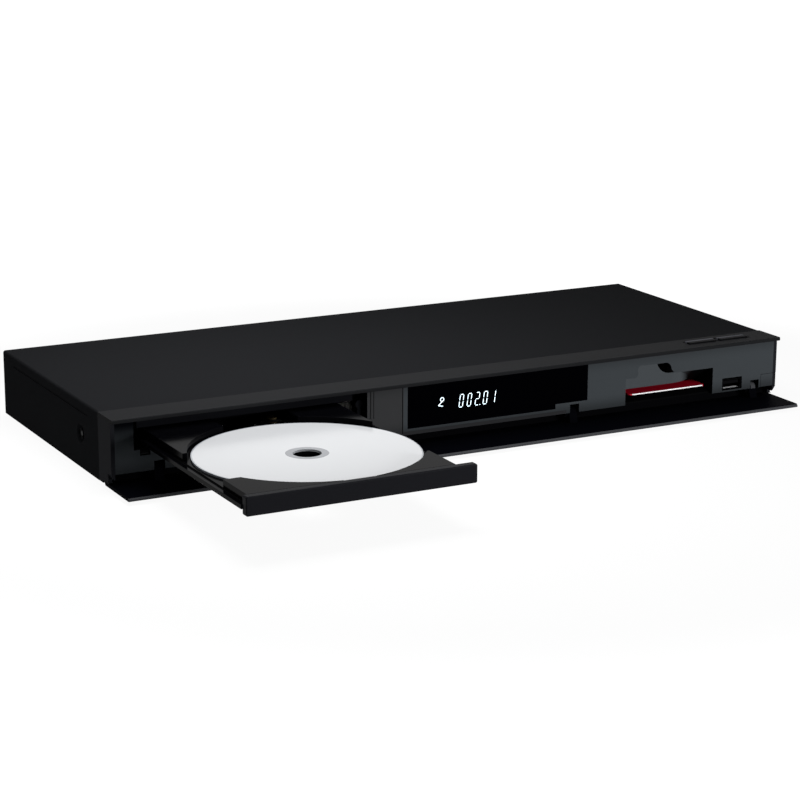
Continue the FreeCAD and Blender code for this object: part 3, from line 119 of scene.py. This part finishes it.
class Finish:
    def __init__(self, name, owner=None):
        self.material = owner or bpy.data.materials.new(name)
        self.material.use_nodes = True
        self.tree = self.material.node_tree
        self.tree.nodes.clear()
        self.here = self.node("ShaderNodeTexCoord", {}, {}, "Object")

    # any node: its kind, its settings, then a value or a link for each socket, and the output wanted
    def node(self, kind, settings, sockets, output=0):
        made = self.tree.nodes.new(kind)
        for name, value in settings.items():
            setattr(made, name, value)
        for name, value in sockets.items():
            if isinstance(value, Value):
                self.tree.links.new(value.socket, made.inputs[name])
            else:
                made.inputs[name].default_value = value
        return Value(self, made.outputs[output])

    def noise(self, scale, detail=2.0, stretch=(1, 1, 1)):
        place = self.node("ShaderNodeMapping", {}, {"Vector": self.here, "Scale": stretch})
        return self.node("ShaderNodeTexNoise", {}, {"Vector": place, "Scale": scale, "Detail": detail})

    # between two colours; a Mix node takes them at its sockets 6 and 7 and gives the result at 2
    def mix(self, mask, first, second):
        ends = {6: first, 7: second}
        sockets = {number: end if isinstance(end, Value) else (*end, 1) for number, end in ends.items()}
        return self.node("ShaderNodeMix", {"data_type": "RGBA"}, {0: mask, **sockets}, 2)

    # place along an axis, in mm
    def along(self, letter):
        place = self.node("ShaderNodeSeparateXYZ", {}, {0: self.here}, "XYZ".index(letter)) * 1000
        return place + originBack if letter == "Y" else place

    # 0 below the first value, 1 above the second, soft between
    def fade(self, value, low, high):
        ends = {0: value, 1: low, 2: high, 3: 0.0, 4: 1.0}
        return self.node("ShaderNodeMapRange", {"interpolation_type": "SMOOTHSTEP"}, ends)

    def bump(self, height, depth, strength=0.5):
        return self.node("ShaderNodeBump", {}, {"Strength": strength, "Distance": depth, "Height": height})

    # 1 for what the camera sees directly or through glass, and the share given for what it sees reflected
    def seenWhite(self, reflected):
        direct, through, mirrored = [
            self.node("ShaderNodeLightPath", {}, {}, way)
            for way in ("Is Camera Ray", "Is Transmission Ray", "Is Glossy Ray")
        ]
        return direct + through + mirrored * reflected

    def shown(self, surface):
        world = isinstance(self.material, bpy.types.World)
        out = self.tree.nodes.new("ShaderNodeOutputWorld" if world else "ShaderNodeOutputMaterial")
        self.tree.links.new(surface.socket, out.inputs["Surface"])
        return self.material

    def close(self, sockets):
        return self.shown(self.node("ShaderNodeBsdfPrincipled", {}, sockets))


# Moulded plastic and paint: colour and how far it drifts, roughness, sheen, grains a metre and their depth in m
moulded = {
    "cover_black": {
        "colour": (0.0130, 0.0134, 0.0147), "drift": 0.06, "rough": 0.55, "sheen": 0.0008, "grain": 2600, "depth": 2e-5,
    },
    "part_black": {
        "colour": (0.0080, 0.0081, 0.0090), "drift": 0.10, "rough": 0.48, "sheen": 0.04, "grain": 3000, "depth": 2e-5,
    },
    "rubber": {
        "colour": (0.011, 0.011, 0.011), "drift": 0.12, "rough": 0.75, "sheen": 0.08, "grain": 1800, "depth": 4e-5,
    },
    "chassis_black": {
        "colour": (0.0040, 0.0041, 0.0050), "drift": 0.12, "rough": 0.45, "sheen": 0.03, "grain": 2200, "depth": 3e-5,
    },
    "loader_black": {
        "colour": (0.0038, 0.0040, 0.0050), "drift": 0.10, "rough": 0.45, "sheen": 0.004, "grain": 2200, "depth": 2e-5,
    },
    "gear_white": {
        "colour": (0.72, 0.71, 0.66), "drift": 0.04, "rough": 0.42, "sheen": 0.20, "grain": 1600, "depth": 1e-5,
    },
    "inlet_black": {
        "colour": (0.010, 0.010, 0.010), "drift": 0.10, "rough": 0.50, "sheen": 0.15, "grain": 2400, "depth": 3e-5,
    },
    "ribbon_white": {
        "colour": (0.74, 0.73, 0.68), "drift": 0.03, "rough": 0.35, "sheen": 0.20, "grain": 1200, "depth": 1e-5,
    },
    "screw_black": {
        "colour": (0.0070, 0.0072, 0.0080), "drift": 0.15, "rough": 0.40, "sheen": 0.04, "grain": 2400, "depth": 1e-5,
    },
    "tray_grey": {
        "colour": (0.0010, 0.0010, 0.0015), "drift": 0.08, "rough": 0.14, "sheen": 0.010, "grain": 2600, "depth": 2e-6,
    },
    "tray_front": {
        "colour": (0.0105, 0.0107, 0.0128), "drift": 0.05, "rough": 0.34, "sheen": 0.012, "grain": 3000, "depth": 1e-5,
    },
}
mottle = {"scale": 14, "detail": 3.0, "cloudRough": 0.06, "grainRough": 0.05}


def mouldedSockets(f, s):
    # wide clouds drift the colour, fine grain roughens it; both lie evenly about the roughness given
    cloud = f.noise(mottle["scale"], mottle["detail"])
    grain = f.noise(s["grain"])
    dark = tuple(c * (1 - s["drift"]) for c in s["colour"])
    light = tuple(c * (1 + s["drift"]) for c in s["colour"])
    middle = (mottle["cloudRough"] + mottle["grainRough"]) / 2
    return {
        "Base Color": f.mix(cloud, dark, light),
        "Roughness": cloud * mottle["cloudRough"] + grain * mottle["grainRough"] + (s["rough"] - middle),
        "Specular IOR Level": s["sheen"],
        "Normal": f.bump(grain, s["depth"]),
    }


def mouldedFinish(name, s):
    f = Finish(name)
    return f.close(mouldedSockets(f, s))


fascia = {
    "colour": (0.0440, 0.0497, 0.0545), "drift": 0.05, "rough": 0.42, "sheen": 0.0035, "grain": 3200, "depth": 1.5e-5,
    "lip": (0.0124, 0.0127, 0.0138), "lipLow": 38.8,
    # painted shade: the fascia's sides take a darker colour
    "side": (0.0130, 0.0134, 0.0160), "halfInside": 212.7,
    # painted shade: what lies behind the face, from its front back, is painted near black
    "recess": (0.0012, 0.0012, 0.0016), "front": 3.12,
    "step": (-61.4, 2.1, 3.9),  # middle, half width and back of the low steps that keep the face's colour
    "shade": (0.0100, 0.0110, 0.0120),
    "topShade": (31.0, 41.0, 0.36), "lowShade": (9.0, 19.0, 0.65),  # from, to and share
    # painted shadow of the tray on the face left of it, darker up high and by the corner
    "wall": (0.0010, 0.0012, 0.0020), "wallRight": -190.0, "wallFade": (23.0, 38.0),
    "cornerFade": (-204.0, -199.0, 23.0, 27.0),
    "panel": (-72.0, -41.0, 66.0, 12.6),  # left and right of the panel, then right and top of the strip beside it
    "panelColour": (0.0370, 0.0376, 0.0394), "stripColour": (0.0215, 0.0217, 0.0235),
}


def fasciaFinish(name, s):
    # darker lip, sides painted darker as shade, painted shade along the face's top and foot and a painted shadow of the
    # tray beside it; what lies behind the face is painted near black as shade
    f = Finish(name)
    sockets = mouldedSockets(f, s)
    x, y, z = (f.along(letter) for letter in "XYZ")
    low, high, share = s["topShade"]
    shading = f.fade(z, low, high) * share
    low, high, share = s["lowShade"]
    shading = shading | (1 - f.fade(z, low, high)) * share
    left, right, stripRight, stripTop = s["panel"]
    panel = (x > left) * (x < right)
    strip = (x > right) * (x < stripRight) * (z < stripTop)
    face = f.mix(panel, sockets["Base Color"], s["panelColour"])
    face = f.mix(shading, face, s["shade"])
    face = f.mix(strip, face, s["stripColour"])
    # painted shadow of the tray on the left of the face
    left, right, low, high = s["cornerFade"]
    wall = f.fade(z, *s["wallFade"]) | f.fade(x, left, right) * f.fade(z, low, high)
    face = f.mix(wall * (x < s["wallRight"]), face, s["wall"])
    # the sides outside this take the darker colour as painted shade
    inside = abs(x) < s["halfInside"]
    face = f.mix(inside, s["side"], face)
    # painted shade behind the face, except on the low steps
    middle, half, back = s["step"]
    step = (abs(x - middle) < half) * (y < back)
    face = f.mix(inside * (y > s["front"]) * (1 - step), face, s["recess"])
    sockets["Base Color"] = f.mix(z > s["lipLow"], face, s["lip"])
    return f.close(sockets)


flap = {
    "colour": (0.0009, 0.0010, 0.0018), "drift": 0.05, "rough": 0.50, "sheen": 0.002, "grain": 3000, "depth": 1e-5,
    # painted highlight along the front edge
    "edge": (0.048, 0.049, 0.053), "edgeBack": -19.9,
    # painted highlight on the tab
    "tab": (199.8, 1.6, 4.0, 9.8),  # middle, half width, front and foot
}


def flapFinish(name, s):
    # its front edge is painted paler as a highlight, and so is the tab on its right arm
    f = Finish(name)
    sockets = mouldedSockets(f, s)
    x, y, z = (f.along(letter) for letter in "XYZ")
    middle, half, front, low = s["tab"]
    tab = (abs(x - middle) < half) * (y > front) * (z > low)
    sockets["Base Color"] = f.mix((y < s["edgeBack"]) | tab, sockets["Base Color"], s["edge"])
    return f.close(sockets)


reader = {
    "colour": (0.0560, 0.0625, 0.0680), "drift": 0.05, "rough": 0.42, "sheen": 0.007, "grain": 3000, "depth": 1.5e-5,
    # deep is painted shade, black to the right of the guide plate and behind it
    "deep": (0.0012, 0.0012, 0.0014), "fadeFrom": 146.0, "fadeTo": 157.5, "plateBack": 6.35, "cardTop": 17.2,
    "bend": (139.5, 28.0, 13.2),  # left, top and back of the plate's bent end
}


def readerFinish(name, s):
    # grey where the guide plate meets the light, and painted shade that turns it black to the right and behind it
    f = Finish(name)
    sockets = mouldedSockets(f, s)
    x, y, z = (f.along(letter) for letter in "XYZ")
    left, top, back = s["bend"]
    bent = (x > left) * (z < top) * (y < back)
    plate = ((y < s["plateBack"]) | bent) * (z > s["cardTop"])
    lit = plate * (1 - f.fade(x, s["fadeFrom"], s["fadeTo"]))
    sockets["Base Color"] = f.mix(lit, s["deep"], sockets["Base Color"])
    return f.close(sockets)


pressKey = {
    "colour": (0.085, 0.086, 0.099), "drift": 0.05, "rough": 0.40, "sheen": 0.004, "grain": 3000, "depth": 1e-5,
    # the dark front part is painted shade
    "lip": (0.0050, 0.0050, 0.0058), "lipBack": 12.6,
}


def keyFinish(name, s):
    # its front part is painted dark as shade, its flat top pale
    f = Finish(name)
    sockets = mouldedSockets(f, s)
    sockets["Base Color"] = f.mix(f.along("Y") < s["lipBack"], sockets["Base Color"], s["lip"])
    return f.close(sockets)


port = {
    "colour": (0.0020, 0.0020, 0.0026), "drift": 0.05, "rough": 0.40, "sheen": 0.010, "grain": 3000, "depth": 1e-5,
    # a painted reflection, white, low behind the mouth
    "bright": (0.95, 0.96, 0.98), "front": 3.62, "back": 6.2, "top": 13.4, "right": 187.5,
}


def portFinish(name, s):
    # a shell painted near black as shade, with a painted reflection of bright metal low behind its mouth
    f = Finish(name)
    sockets = mouldedSockets(f, s)
    x, y, z = (f.along(letter) for letter in "XYZ")
    low = (y > s["front"]) * (y < s["back"]) * (z < s["top"]) * (x < s["right"])
    sockets["Base Color"] = f.mix(low, sockets["Base Color"], s["bright"])
    return f.close(sockets)


metals = {
    "steel": {"colour": (0.40, 0.41, 0.42), "rough": 0.36, "stretch": (1, 12, 12), "depth": 1e-5},
    "port_metal": {"colour": (0.50, 0.50, 0.51), "rough": 0.26, "stretch": (4, 4, 4), "depth": 5e-6},
    "alloy": {"colour": (0.44, 0.45, 0.46), "rough": 0.42, "stretch": (1, 1, 1), "depth": 3e-5},
    "brass": {"colour": (0.065, 0.050, 0.026), "rough": 0.55, "stretch": (6, 6, 1), "depth": 1e-5},
}
brushing = {"streaks": 160, "detail": 4.0, "clouds": 55, "darkest": 0.86, "streakRough": 0.16}


def metalFinish(name, s):
    # streaks of the brushing, stretched along one axis, over cloudy dark patches
    f = Finish(name)
    streak = f.noise(brushing["streaks"], brushing["detail"], s["stretch"])
    dark = tuple(c * brushing["darkest"] for c in s["colour"])
    return f.close({
        "Base Color": f.mix(f.noise(brushing["clouds"]), dark, s["colour"]),
        "Metallic": 1.0,
        "Roughness": streak * brushing["streakRough"] + (s["rough"] - brushing["streakRough"] / 2),
        "Normal": f.bump(streak, s["depth"]),
    })


board = {
    "lacquer": (0.012, 0.085, 0.035), "copper": (0.030, 0.150, 0.060), "tracks": 210, "wander": 2.0,
    "cut": (0.7, 0.72), "areas": 90, "rough": 0.42, "copperRough": 0.12, "depth": 3e-5,
}


def boardFinish(name, s):
    # tracks show as paler lines under the lacquer: two crossed waves, cut to thin lines
    f = Finish(name)
    waves = []
    for way, cut in zip("XY", s["cut"]):
        bands = {"Vector": f.here, "Scale": s["tracks"], "Distortion": s["wander"]}
        waves.append((f.node("ShaderNodeTexWave", {"bands_direction": way}, bands, 1), cut))
    area = f.noise(s["areas"], 1.0) > 0.5
    (first, firstCut), (second, secondCut) = waves
    lines = (first > firstCut) * area + (second > secondCut) * (1 - area)
    return f.close({
        "Base Color": f.mix(lines, s["lacquer"], s["copper"]),
        "Roughness": s["rough"] - lines * s["copperRough"],
        "Normal": f.bump(lines, s["depth"]),
    })


discLook = {
    "centre": (-134.0, -67.4), "white": (0.64, 0.65, 0.665), "land": (0.26, 0.27, 0.29), "landEdge": 11.4,
    "rim": 59.2, "rimColour": (0.36, 0.38, 0.41), "rough": 0.20, "clearRough": 0.08, "shine": 0.5,
    "grain": 5200, "depth": 6e-6,
}


def discFinish(name, s):
    # rings by the distance from the hub: clear land, printable white, clear rim
    f = Finish(name)
    x, y = [float(c) for c in mm((*s["centre"], 0))[:2]]
    centred = f.node("ShaderNodeMapping", {}, {"Vector": f.here, "Location": (-x, -y, 0), "Scale": (1, 1, 0)})
    radius = f.node("ShaderNodeVectorMath", {"operation": "LENGTH"}, {0: centred}, 1) * 1000
    onLand, onRim = radius < s["landEdge"], radius > s["rim"]
    return f.close({
        "Base Color": f.mix(onRim, f.mix(onLand, s["white"], s["land"]), s["rimColour"]),
        "Roughness": s["rough"] - onLand * s["clearRough"] - onRim * s["clearRough"],
        "Specular IOR Level": s["shine"],
        "Normal": f.bump(f.noise(s["grain"]), s["depth"]),
    })


cardLook = {
    "red": (0.80, 0.003, 0.034), "deep": (0.60, 0.002, 0.024), "clouds": 30,
    "white": (0.93, 0.93, 0.93), "edge": 4.95, "rough": 0.30, "coat": 0.3,
}


def cardFinish(name, s):
    # cloudy red print, with a white front edge
    f = Finish(name)
    printed = f.mix(f.noise(s["clouds"]), s["deep"], s["red"])
    return f.close({
        "Base Color": f.mix(f.along("Y") < s["edge"], printed, s["white"]),
        "Roughness": s["rough"],
        "Coat Weight": s["coat"],
    })


window = {
    "colour": (0.0003, 0.0003, 0.0006), "rough": 0.08, "sheen": 0.001, "clouds": 8, "lightest": 1.6, "drift": 0.04,
}


def windowFinish(name, s):
    f = Finish(name)
    cloud = f.noise(s["clouds"])
    return f.close({
        "Base Color": f.mix(cloud, s["colour"], tuple(c * s["lightest"] for c in s["colour"])),
        "Roughness": cloud * s["drift"] + s["rough"],
        "Specular IOR Level": s["sheen"],
    })


lens = {"blue": (0.10, 0.14, 0.30), "violet": (0.30, 0.12, 0.34), "turn": 0.35, "rough": 0.05, "coat": 1.0}


def lensFinish(name, s):
    # blue seen squarely, violet at a slant
    f = Finish(name)
    tint = f.node("ShaderNodeLayerWeight", {}, {"Blend": s["turn"]}, 1)
    return f.close({
        "Base Color": f.mix(tint, s["blue"], s["violet"]), "Roughness": s["rough"], "Coat Weight": s["coat"],
    })


glow = {"colour": (0.80, 0.95, 1.0), "dim": (0.66, 0.82, 0.90), "strength": 1.6, "patches": 700, "rough": 0.5}


def glowFinish(name, s):
    f = Finish(name)
    lamp = f.mix(f.noise(s["patches"]), s["dim"], s["colour"])
    return f.close({
        "Base Color": lamp, "Emission Color": lamp, "Emission Strength": s["strength"], "Roughness": s["rough"],
    })


finishes = {name: mouldedFinish(name, s) for name, s in moulded.items()}
finishes.update({name: metalFinish(name, s) for name, s in metals.items()})
painted = {
    "fascia_dark": (fasciaFinish, fascia), "flap_dark": (flapFinish, flap), "port_dark": (portFinish, port),
    "key_silver": (keyFinish, pressKey), "reader_grey": (readerFinish, reader),
    "window_black": (windowFinish, window), "display_glass": (windowFinish, window),
    "board_green": (boardFinish, board), "disc_white": (discFinish, discLook), "card_red": (cardFinish, cardLook),
    "lens_glass": (lensFinish, lens), "display_glow": (glowFinish, glow),
}
finishes.update({name: make(name, s) for name, (make, s) in painted.items()})

# nodes that take another finish than their slot's
# the usb socket's dark finish is painted shade
ownFinish = {"usb_socket": "port_dark", "flap_pins": "flap_dark", "loader_frame": "loader_black"}
for name, obj in nodes.items():
    for slot in obj.material_slots:
        slot.material = finishes[ownFinish.get(name, slotOf[name])]
print("stage: finishes,", len(finishes))


# Gives a new piece its finish, its smooth shading up to an angle and its body, and hides the nodes it stands for
def settle(obj, finish, body, smooth, replaced=(), slot=None):
    obj.data.materials.clear()
    obj.data.materials.append(finishes[finish])
    obj.data.shade_smooth()
    obj.data.set_sharp_from_angle(angle=radians(smooth))
    bpy.context.scene.collection.objects.link(obj)
    if replaced:
        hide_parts(*replaced)
    (slot or finish) in recordSlots
    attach(obj, body)


# Changes a mesh by a function that works on its bmesh
def reworked(mesh, change):
    work = bmesh.new()
    work.from_mesh(mesh)
    change(work)
    work.to_mesh(mesh)
    work.free()


# A copy of a CAD node with its corners merged, flat faces joined and edges rounded by a bevel, widths in mm
edgeWidths = {
    "front_flap": 0.25, "display_window": 0.12, "corner_cover": 0.25, "tray_fascia": 0.25, "disc_tray": 0.3,
    "card_reader": 0.1, "ac_inlet": 0.3, "feet": 0.3, "power_button": 0.2, "eject_button": 0.2, "loader_frame": 0.2,
    "front_fascia": 0.15, "rear_panel": 0.1, "top_cover": 0.15, "access_card": 0.08, "disc": 0.15,
}
rounding = {"merge": 2e-6, "flatAngle": 0.6, "sharpAngle": 30, "segments": 2, "square": 0.99999}

# The guide plate ends a little above the card, so that the card's red top shows: box of its lower edge, and the lift
guideEdge = {"low": (100.0, 5.0, 17.4), "high": (160.0, 13.2, 17.48), "lift": 2.2}


def liftEdge(mesh, s):
    # every corner inside the box moves up by the lift
    points = np.zeros(len(mesh.vertices) * 3)
    mesh.vertices.foreach_get("co", points)
    points = points.reshape(-1, 3)
    inside = ((points > mm(s["low"])) & (points < mm(s["high"]))).all(axis=1)
    points[inside, 2] += s["lift"] / 1000
    mesh.vertices.foreach_set("co", points.ravel())


def softened(node, width, s):
    def cleaned(work):
        bmesh.ops.remove_doubles(work, verts=work.verts, dist=s["merge"])
        bmesh.ops.dissolve_limit(work, angle_limit=radians(s["flatAngle"]), verts=work.verts, edges=work.edges)

    mesh = nodes[node].data.copy()
    if node == "card_reader":
        liftEdge(mesh, guideEdge)
    reworked(mesh, cleaned)
    obj = bpy.data.objects.new(node + "_edges", mesh)
    settle(obj, ownFinish.get(node, slotOf[node]), bodyOf[node], s["sharpAngle"], [node], slotOf[node])
    # faces square to an axis shade flat: those where the largest of |x|, |y|, |z| of the normal is about 1
    normals = np.zeros(len(mesh.polygons) * 3)
    mesh.polygons.foreach_get("normal", normals)
    square = np.abs(normals.reshape(-1, 3)).max(axis=1) > s["square"]
    mesh.polygons.foreach_set("use_smooth", ~square)
    bevel = obj.modifiers.new("edges", "BEVEL")
    bevel.width, bevel.segments = width / 1000, s["segments"]
    bevel.limit_method, bevel.angle_limit = "ANGLE", radians(s["sharpAngle"])
    bevel.harden_normals = True


for node, width in edgeWidths.items():
    softened(node, width, rounding)
print("stage: softened copies,", len(edgeWidths))


# Quads between the points of a grid, whose last column joins its first
def gridFaces(rows, columns):
    i, j = np.meshgrid(np.arange(rows - 1), np.arange(columns), indexing="ij")
    n = (j + 1) % columns
    return np.stack([i * columns + j, i * columns + n, (i + 1) * columns + n, (i + 1) * columns + j], -1).reshape(-1, 4)


def makePiece(name, grids, faces, body, finish, smooth=35, merge=1e-7):
    def cleaned(work):
        bmesh.ops.remove_doubles(work, verts=work.verts, dist=merge)
        bmesh.ops.recalc_face_normals(work, faces=work.faces)

    points = np.concatenate([mm(grid).reshape(-1, 3) for grid in grids])
    starts = np.cumsum([0] + [grid.size // 3 for grid in grids[:-1]])
    quads = np.concatenate([faces + start for start in starts])
    mesh = bpy.data.meshes.new(name)
    mesh.from_pydata(points.tolist(), [], quads.tolist())
    reworked(mesh, cleaned)
    settle(bpy.data.objects.new(name, mesh), finish, body, smooth)


# Lit digits: seven strokes a digit, leaning to the right, after a small sign of a ring with a hook
digits = {
    "text": "00201", "left": -5.6, "step": 5.2, "low": 22.75, "height": 7.3, "width": 2.3, "lean": 0.14,
    "stroke": 0.21, "inset": 0.9, "face": 3.05, "proud": 0.03, "sunk": -0.5,
    "dot": (2, 1.0, 0.1, 0.3),  # after which digit, how far aside and up, half length
    "ring": (-16.4, 28.6, 1.15), "sides": 8, "overlap": -0.12,
    "hook": ((-18.9, 25.2), (-15.6, 24.6)), "hookTop": (0.1, -0.2),
    "rows": 9, "columns": 12, "blunt": 8,
}
strokes = {
    "a": (0, 2, 1, 2), "b": (1, 2, 1, 1), "c": (1, 1, 1, 0), "d": (0, 0, 1, 0), "e": (0, 1, 0, 0), "f": (0, 2, 0, 1),
    "g": (0, 1, 1, 1),
}
lit = {"0": "abcdef", "1": "bc", "2": "abged"}


def displayDigits(s):
    # a stroke is a low ridge about a straight line, half width * root(1 - (2u - 1)^blunt) at u along it
    around = np.linspace(0, 2 * pi, s["columns"], endpoint=False)
    u, v = np.meshgrid(np.linspace(0, 1, s["rows"]), around, indexing="ij")
    taper = np.sqrt(np.clip(1 - (2 * u - 1) ** s["blunt"], 0, 1))
    proud = s["face"] - s["proud"] * np.maximum(np.sin(v), s["sunk"])

    def ridge(start, end, inset):
        run = np.subtract(end, start) / np.hypot(*np.subtract(end, start))
        first, last = start + run * inset, end - run * inset
        wide = s["stroke"] * taper * np.cos(v)
        x = first[0] + (last[0] - first[0]) * u - run[1] * wide
        z = first[1] + (last[1] - first[1]) * u + run[0] * wide
        return np.stack([x, proud, z], -1)

    grids = []
    for place, digit in enumerate(s["text"]):
        for name in lit[digit]:
            x0, z0, x1, z1 = np.multiply(strokes[name], (s["width"], s["height"] / 2) * 2)
            leaned = ridge(np.array([x0, z0]), np.array([x1, z1]), s["stroke"] * s["inset"])
            leaned[..., 0] += s["left"] + s["step"] * place + s["lean"] * leaned[..., 2]
            leaned[..., 2] += s["low"]
            grids.append(leaned)
    place, aside, up, half = s["dot"]
    x, z = s["left"] + s["step"] * place + s["width"] + aside, s["low"] + up
    grids.append(ridge(np.array([x - half, z]), np.array([x + half, z]), 0.0))
    x, z, radius = s["ring"]
    turns = np.linspace(0, 2 * pi, s["sides"] + 1)
    corners = np.stack([x + radius * np.cos(turns), z + radius * np.sin(turns)], -1)
    grids += [ridge(a, b, s["overlap"]) for a, b in zip(corners[:-1], corners[1:])]
    low, end = [np.array(p) for p in s["hook"]]
    grids.append(ridge(low, end, 0.0))
    grids.append(ridge(corners[0] + s["hookTop"], low, 0.0))
    makePiece("display_digits", grids, gridFaces(s["rows"], s["columns"]), "cabinet", "display_glow")


displayDigits(digits)
print("stage: display")

# Screw heads: rings of (distance along the axis, radius), whose dished middle stands for the cross cut
screws = {
    "columns": 24, "sidePlace": (214.2, 49.0, 22.3),
    "sideProfile": [(0, 0), (0, 1.4), (0.6, 1.4), (0.6, 2.6), (0.1, 3.1), (-0.6, 3.1)],
    "rearAcross": (-190.0, 0.0, 190.0), "rearDepth": 178.0, "rearUp": 36.5,
    "rearProfile": [(0, 3.2), (0.9, 3.1), (1.4, 2.4), (1.5, 1.4), (0.9, 1.3), (0.9, 0)],
}


def rings(profile, centre, way, columns):
    # at angle a the point is (radius cos a, radius sin a) across the axis
    profile = np.array(profile, float)
    angle = np.linspace(0, 2 * pi, columns, endpoint=False)
    along, radius = profile[:, :1], profile[:, 1:]
    a, b = radius * np.cos(angle), radius * np.sin(angle)
    ahead = np.broadcast_to(along, a.shape)
    order = {"x": (ahead, a, b), "-x": (-ahead, a, b), "y": (a, ahead, b)}[way]
    return np.stack(order, -1) + np.asarray(centre, float)


def screwHeads(s):
    (x, y, z), profile, columns = s["sidePlace"], s["sideProfile"], s["columns"]
    grids = [rings(profile, (-x, y, z), "x", columns), rings(profile, (x, y, z), "-x", columns)]
    makePiece("side_screws", grids, gridFaces(len(profile), columns), "cabinet", "screw_black")
    profile = s["rearProfile"]
    grids = [rings(profile, (x, s["rearDepth"], s["rearUp"]), "y", columns) for x in s["rearAcross"]]
    makePiece("rear_screws", grids, gridFaces(len(profile), columns), "cabinet", "screw_black")


screwHeads(screws)

terminal = {
    "places": ((24.0, 14.5), (42.0, 14.5), (24.0, 27.0), (42.0, 27.0)), "start": 179.0, "end": 186.8,
    "radius": 4.62, "depth": 0.26, "pitch": 0.9, "sink": 14, "rows": 121, "columns": 28, "smooth": 60,
}


def terminalThreads(s):
    # the crest winds as radius + depth * cos(angle - 2 pi * distance / pitch), and sinks at both ends
    around = np.linspace(0, 2 * pi, s["columns"], endpoint=False)
    t, angle = np.meshgrid(np.linspace(0, 1, s["rows"]), around, indexing="ij")
    distance = (s["end"] - s["start"]) * t
    ends = np.clip(s["sink"] * t, 0, 1) * np.clip(s["sink"] * (1 - t), 0, 1)
    radius = s["radius"] + s["depth"] * ends * np.cos(angle - 2 * pi * distance / s["pitch"])
    x, z = radius * np.cos(angle), radius * np.sin(angle)
    grids = [np.stack([x + place[0], s["start"] + distance, z + place[1]], -1) for place in s["places"]]
    faces = gridFaces(s["rows"], s["columns"])
    makePiece("terminal_threads", grids, faces, "cabinet", "port_metal", s["smooth"])


terminalThreads(terminal)
print("stage: screws and threads")

# Light: a dim room that looks white past the object, in reflections and through glass, and two soft lamps
room = {"colour": (0.93, 0.96, 1.0), "strength": 0.11, "reflected": 1.0}


def lightTheRoom(s):
    world = bpy.data.worlds.new("room")
    bpy.context.scene.world = world
    world.use_nodes = True
    f = Finish("room_white", world)
    dim = f.node("ShaderNodeBackground", {}, {"Color": (*s["colour"], 1), "Strength": s["strength"]})
    white = f.node("ShaderNodeBackground", {}, {"Color": (1, 1, 1, 1), "Strength": 1.0})
    f.shown(f.node("ShaderNodeMixShader", {}, {0: f.seenWhite(s["reflected"]), 1: dim, 2: white}))


lamps = {
    "key": {"place": (680, -1100, 140), "aim": (80, 0, 20), "size": 0.45, "spread": 180, "watts": 18.3},
    "above": {"place": (-120, 40, 410), "aim": (-120, 30, 40), "size": 0.28, "spread": 100, "watts": 0.69},
}


def hangLamp(name, s):
    data = bpy.data.lights.new(name, "AREA")
    data.shape, data.size, data.energy, data.spread = "SQUARE", s["size"], s["watts"], radians(s["spread"])
    obj = bpy.data.objects.new(name, data)
    bpy.context.scene.collection.objects.link(obj)
    place, aim = Vector(mm(s["place"])), Vector(mm(s["aim"]))
    obj.location = place
    obj.rotation_euler = (aim - place).to_track_quat("-Z", "Y").to_euler()


# The floor keeps the object's shadow near it, and turns white from near to far, in metres
floor = {
    "reach": 6.0, "colour": (0.42, 0.42, 0.42), "white": 0.78, "shine": 1.2, "reflected": 1.0,
    "near": 0.32, "far": 0.55,
}


def layFloor(s):
    f = Finish("floor_pale")
    pale = f.node("ShaderNodeBsdfDiffuse", {}, {"Color": (*s["colour"], 1)})
    white = f.node("ShaderNodeEmission", {}, {"Color": (1, 1, 1, 1), "Strength": s["shine"]})
    away = f.node("ShaderNodeVectorMath", {"operation": "LENGTH"}, {0: f.here}, 1)
    share = f.fade(away, s["near"], s["far"]) * (1 - s["white"]) + s["white"]
    f.shown(f.node("ShaderNodeMixShader", {}, {0: f.seenWhite(s["reflected"]) * share, 1: pale, 2: white}))
    r = s["reach"]
    mesh = bpy.data.meshes.new("floor")
    mesh.from_pydata([(-r, -r, 0), (r, -r, 0), (r, r, 0), (-r, r, 0)], [], [(0, 1, 2, 3)])
    mesh.materials.append(f.material)
    obj = bpy.data.objects.new("floor", mesh)
    bpy.context.scene.collection.objects.link(obj)


lightTheRoom(room)
for name, settings in lamps.items():
    hangLamp(name, settings)
layFloor(floor)
print("stage: light and floor")
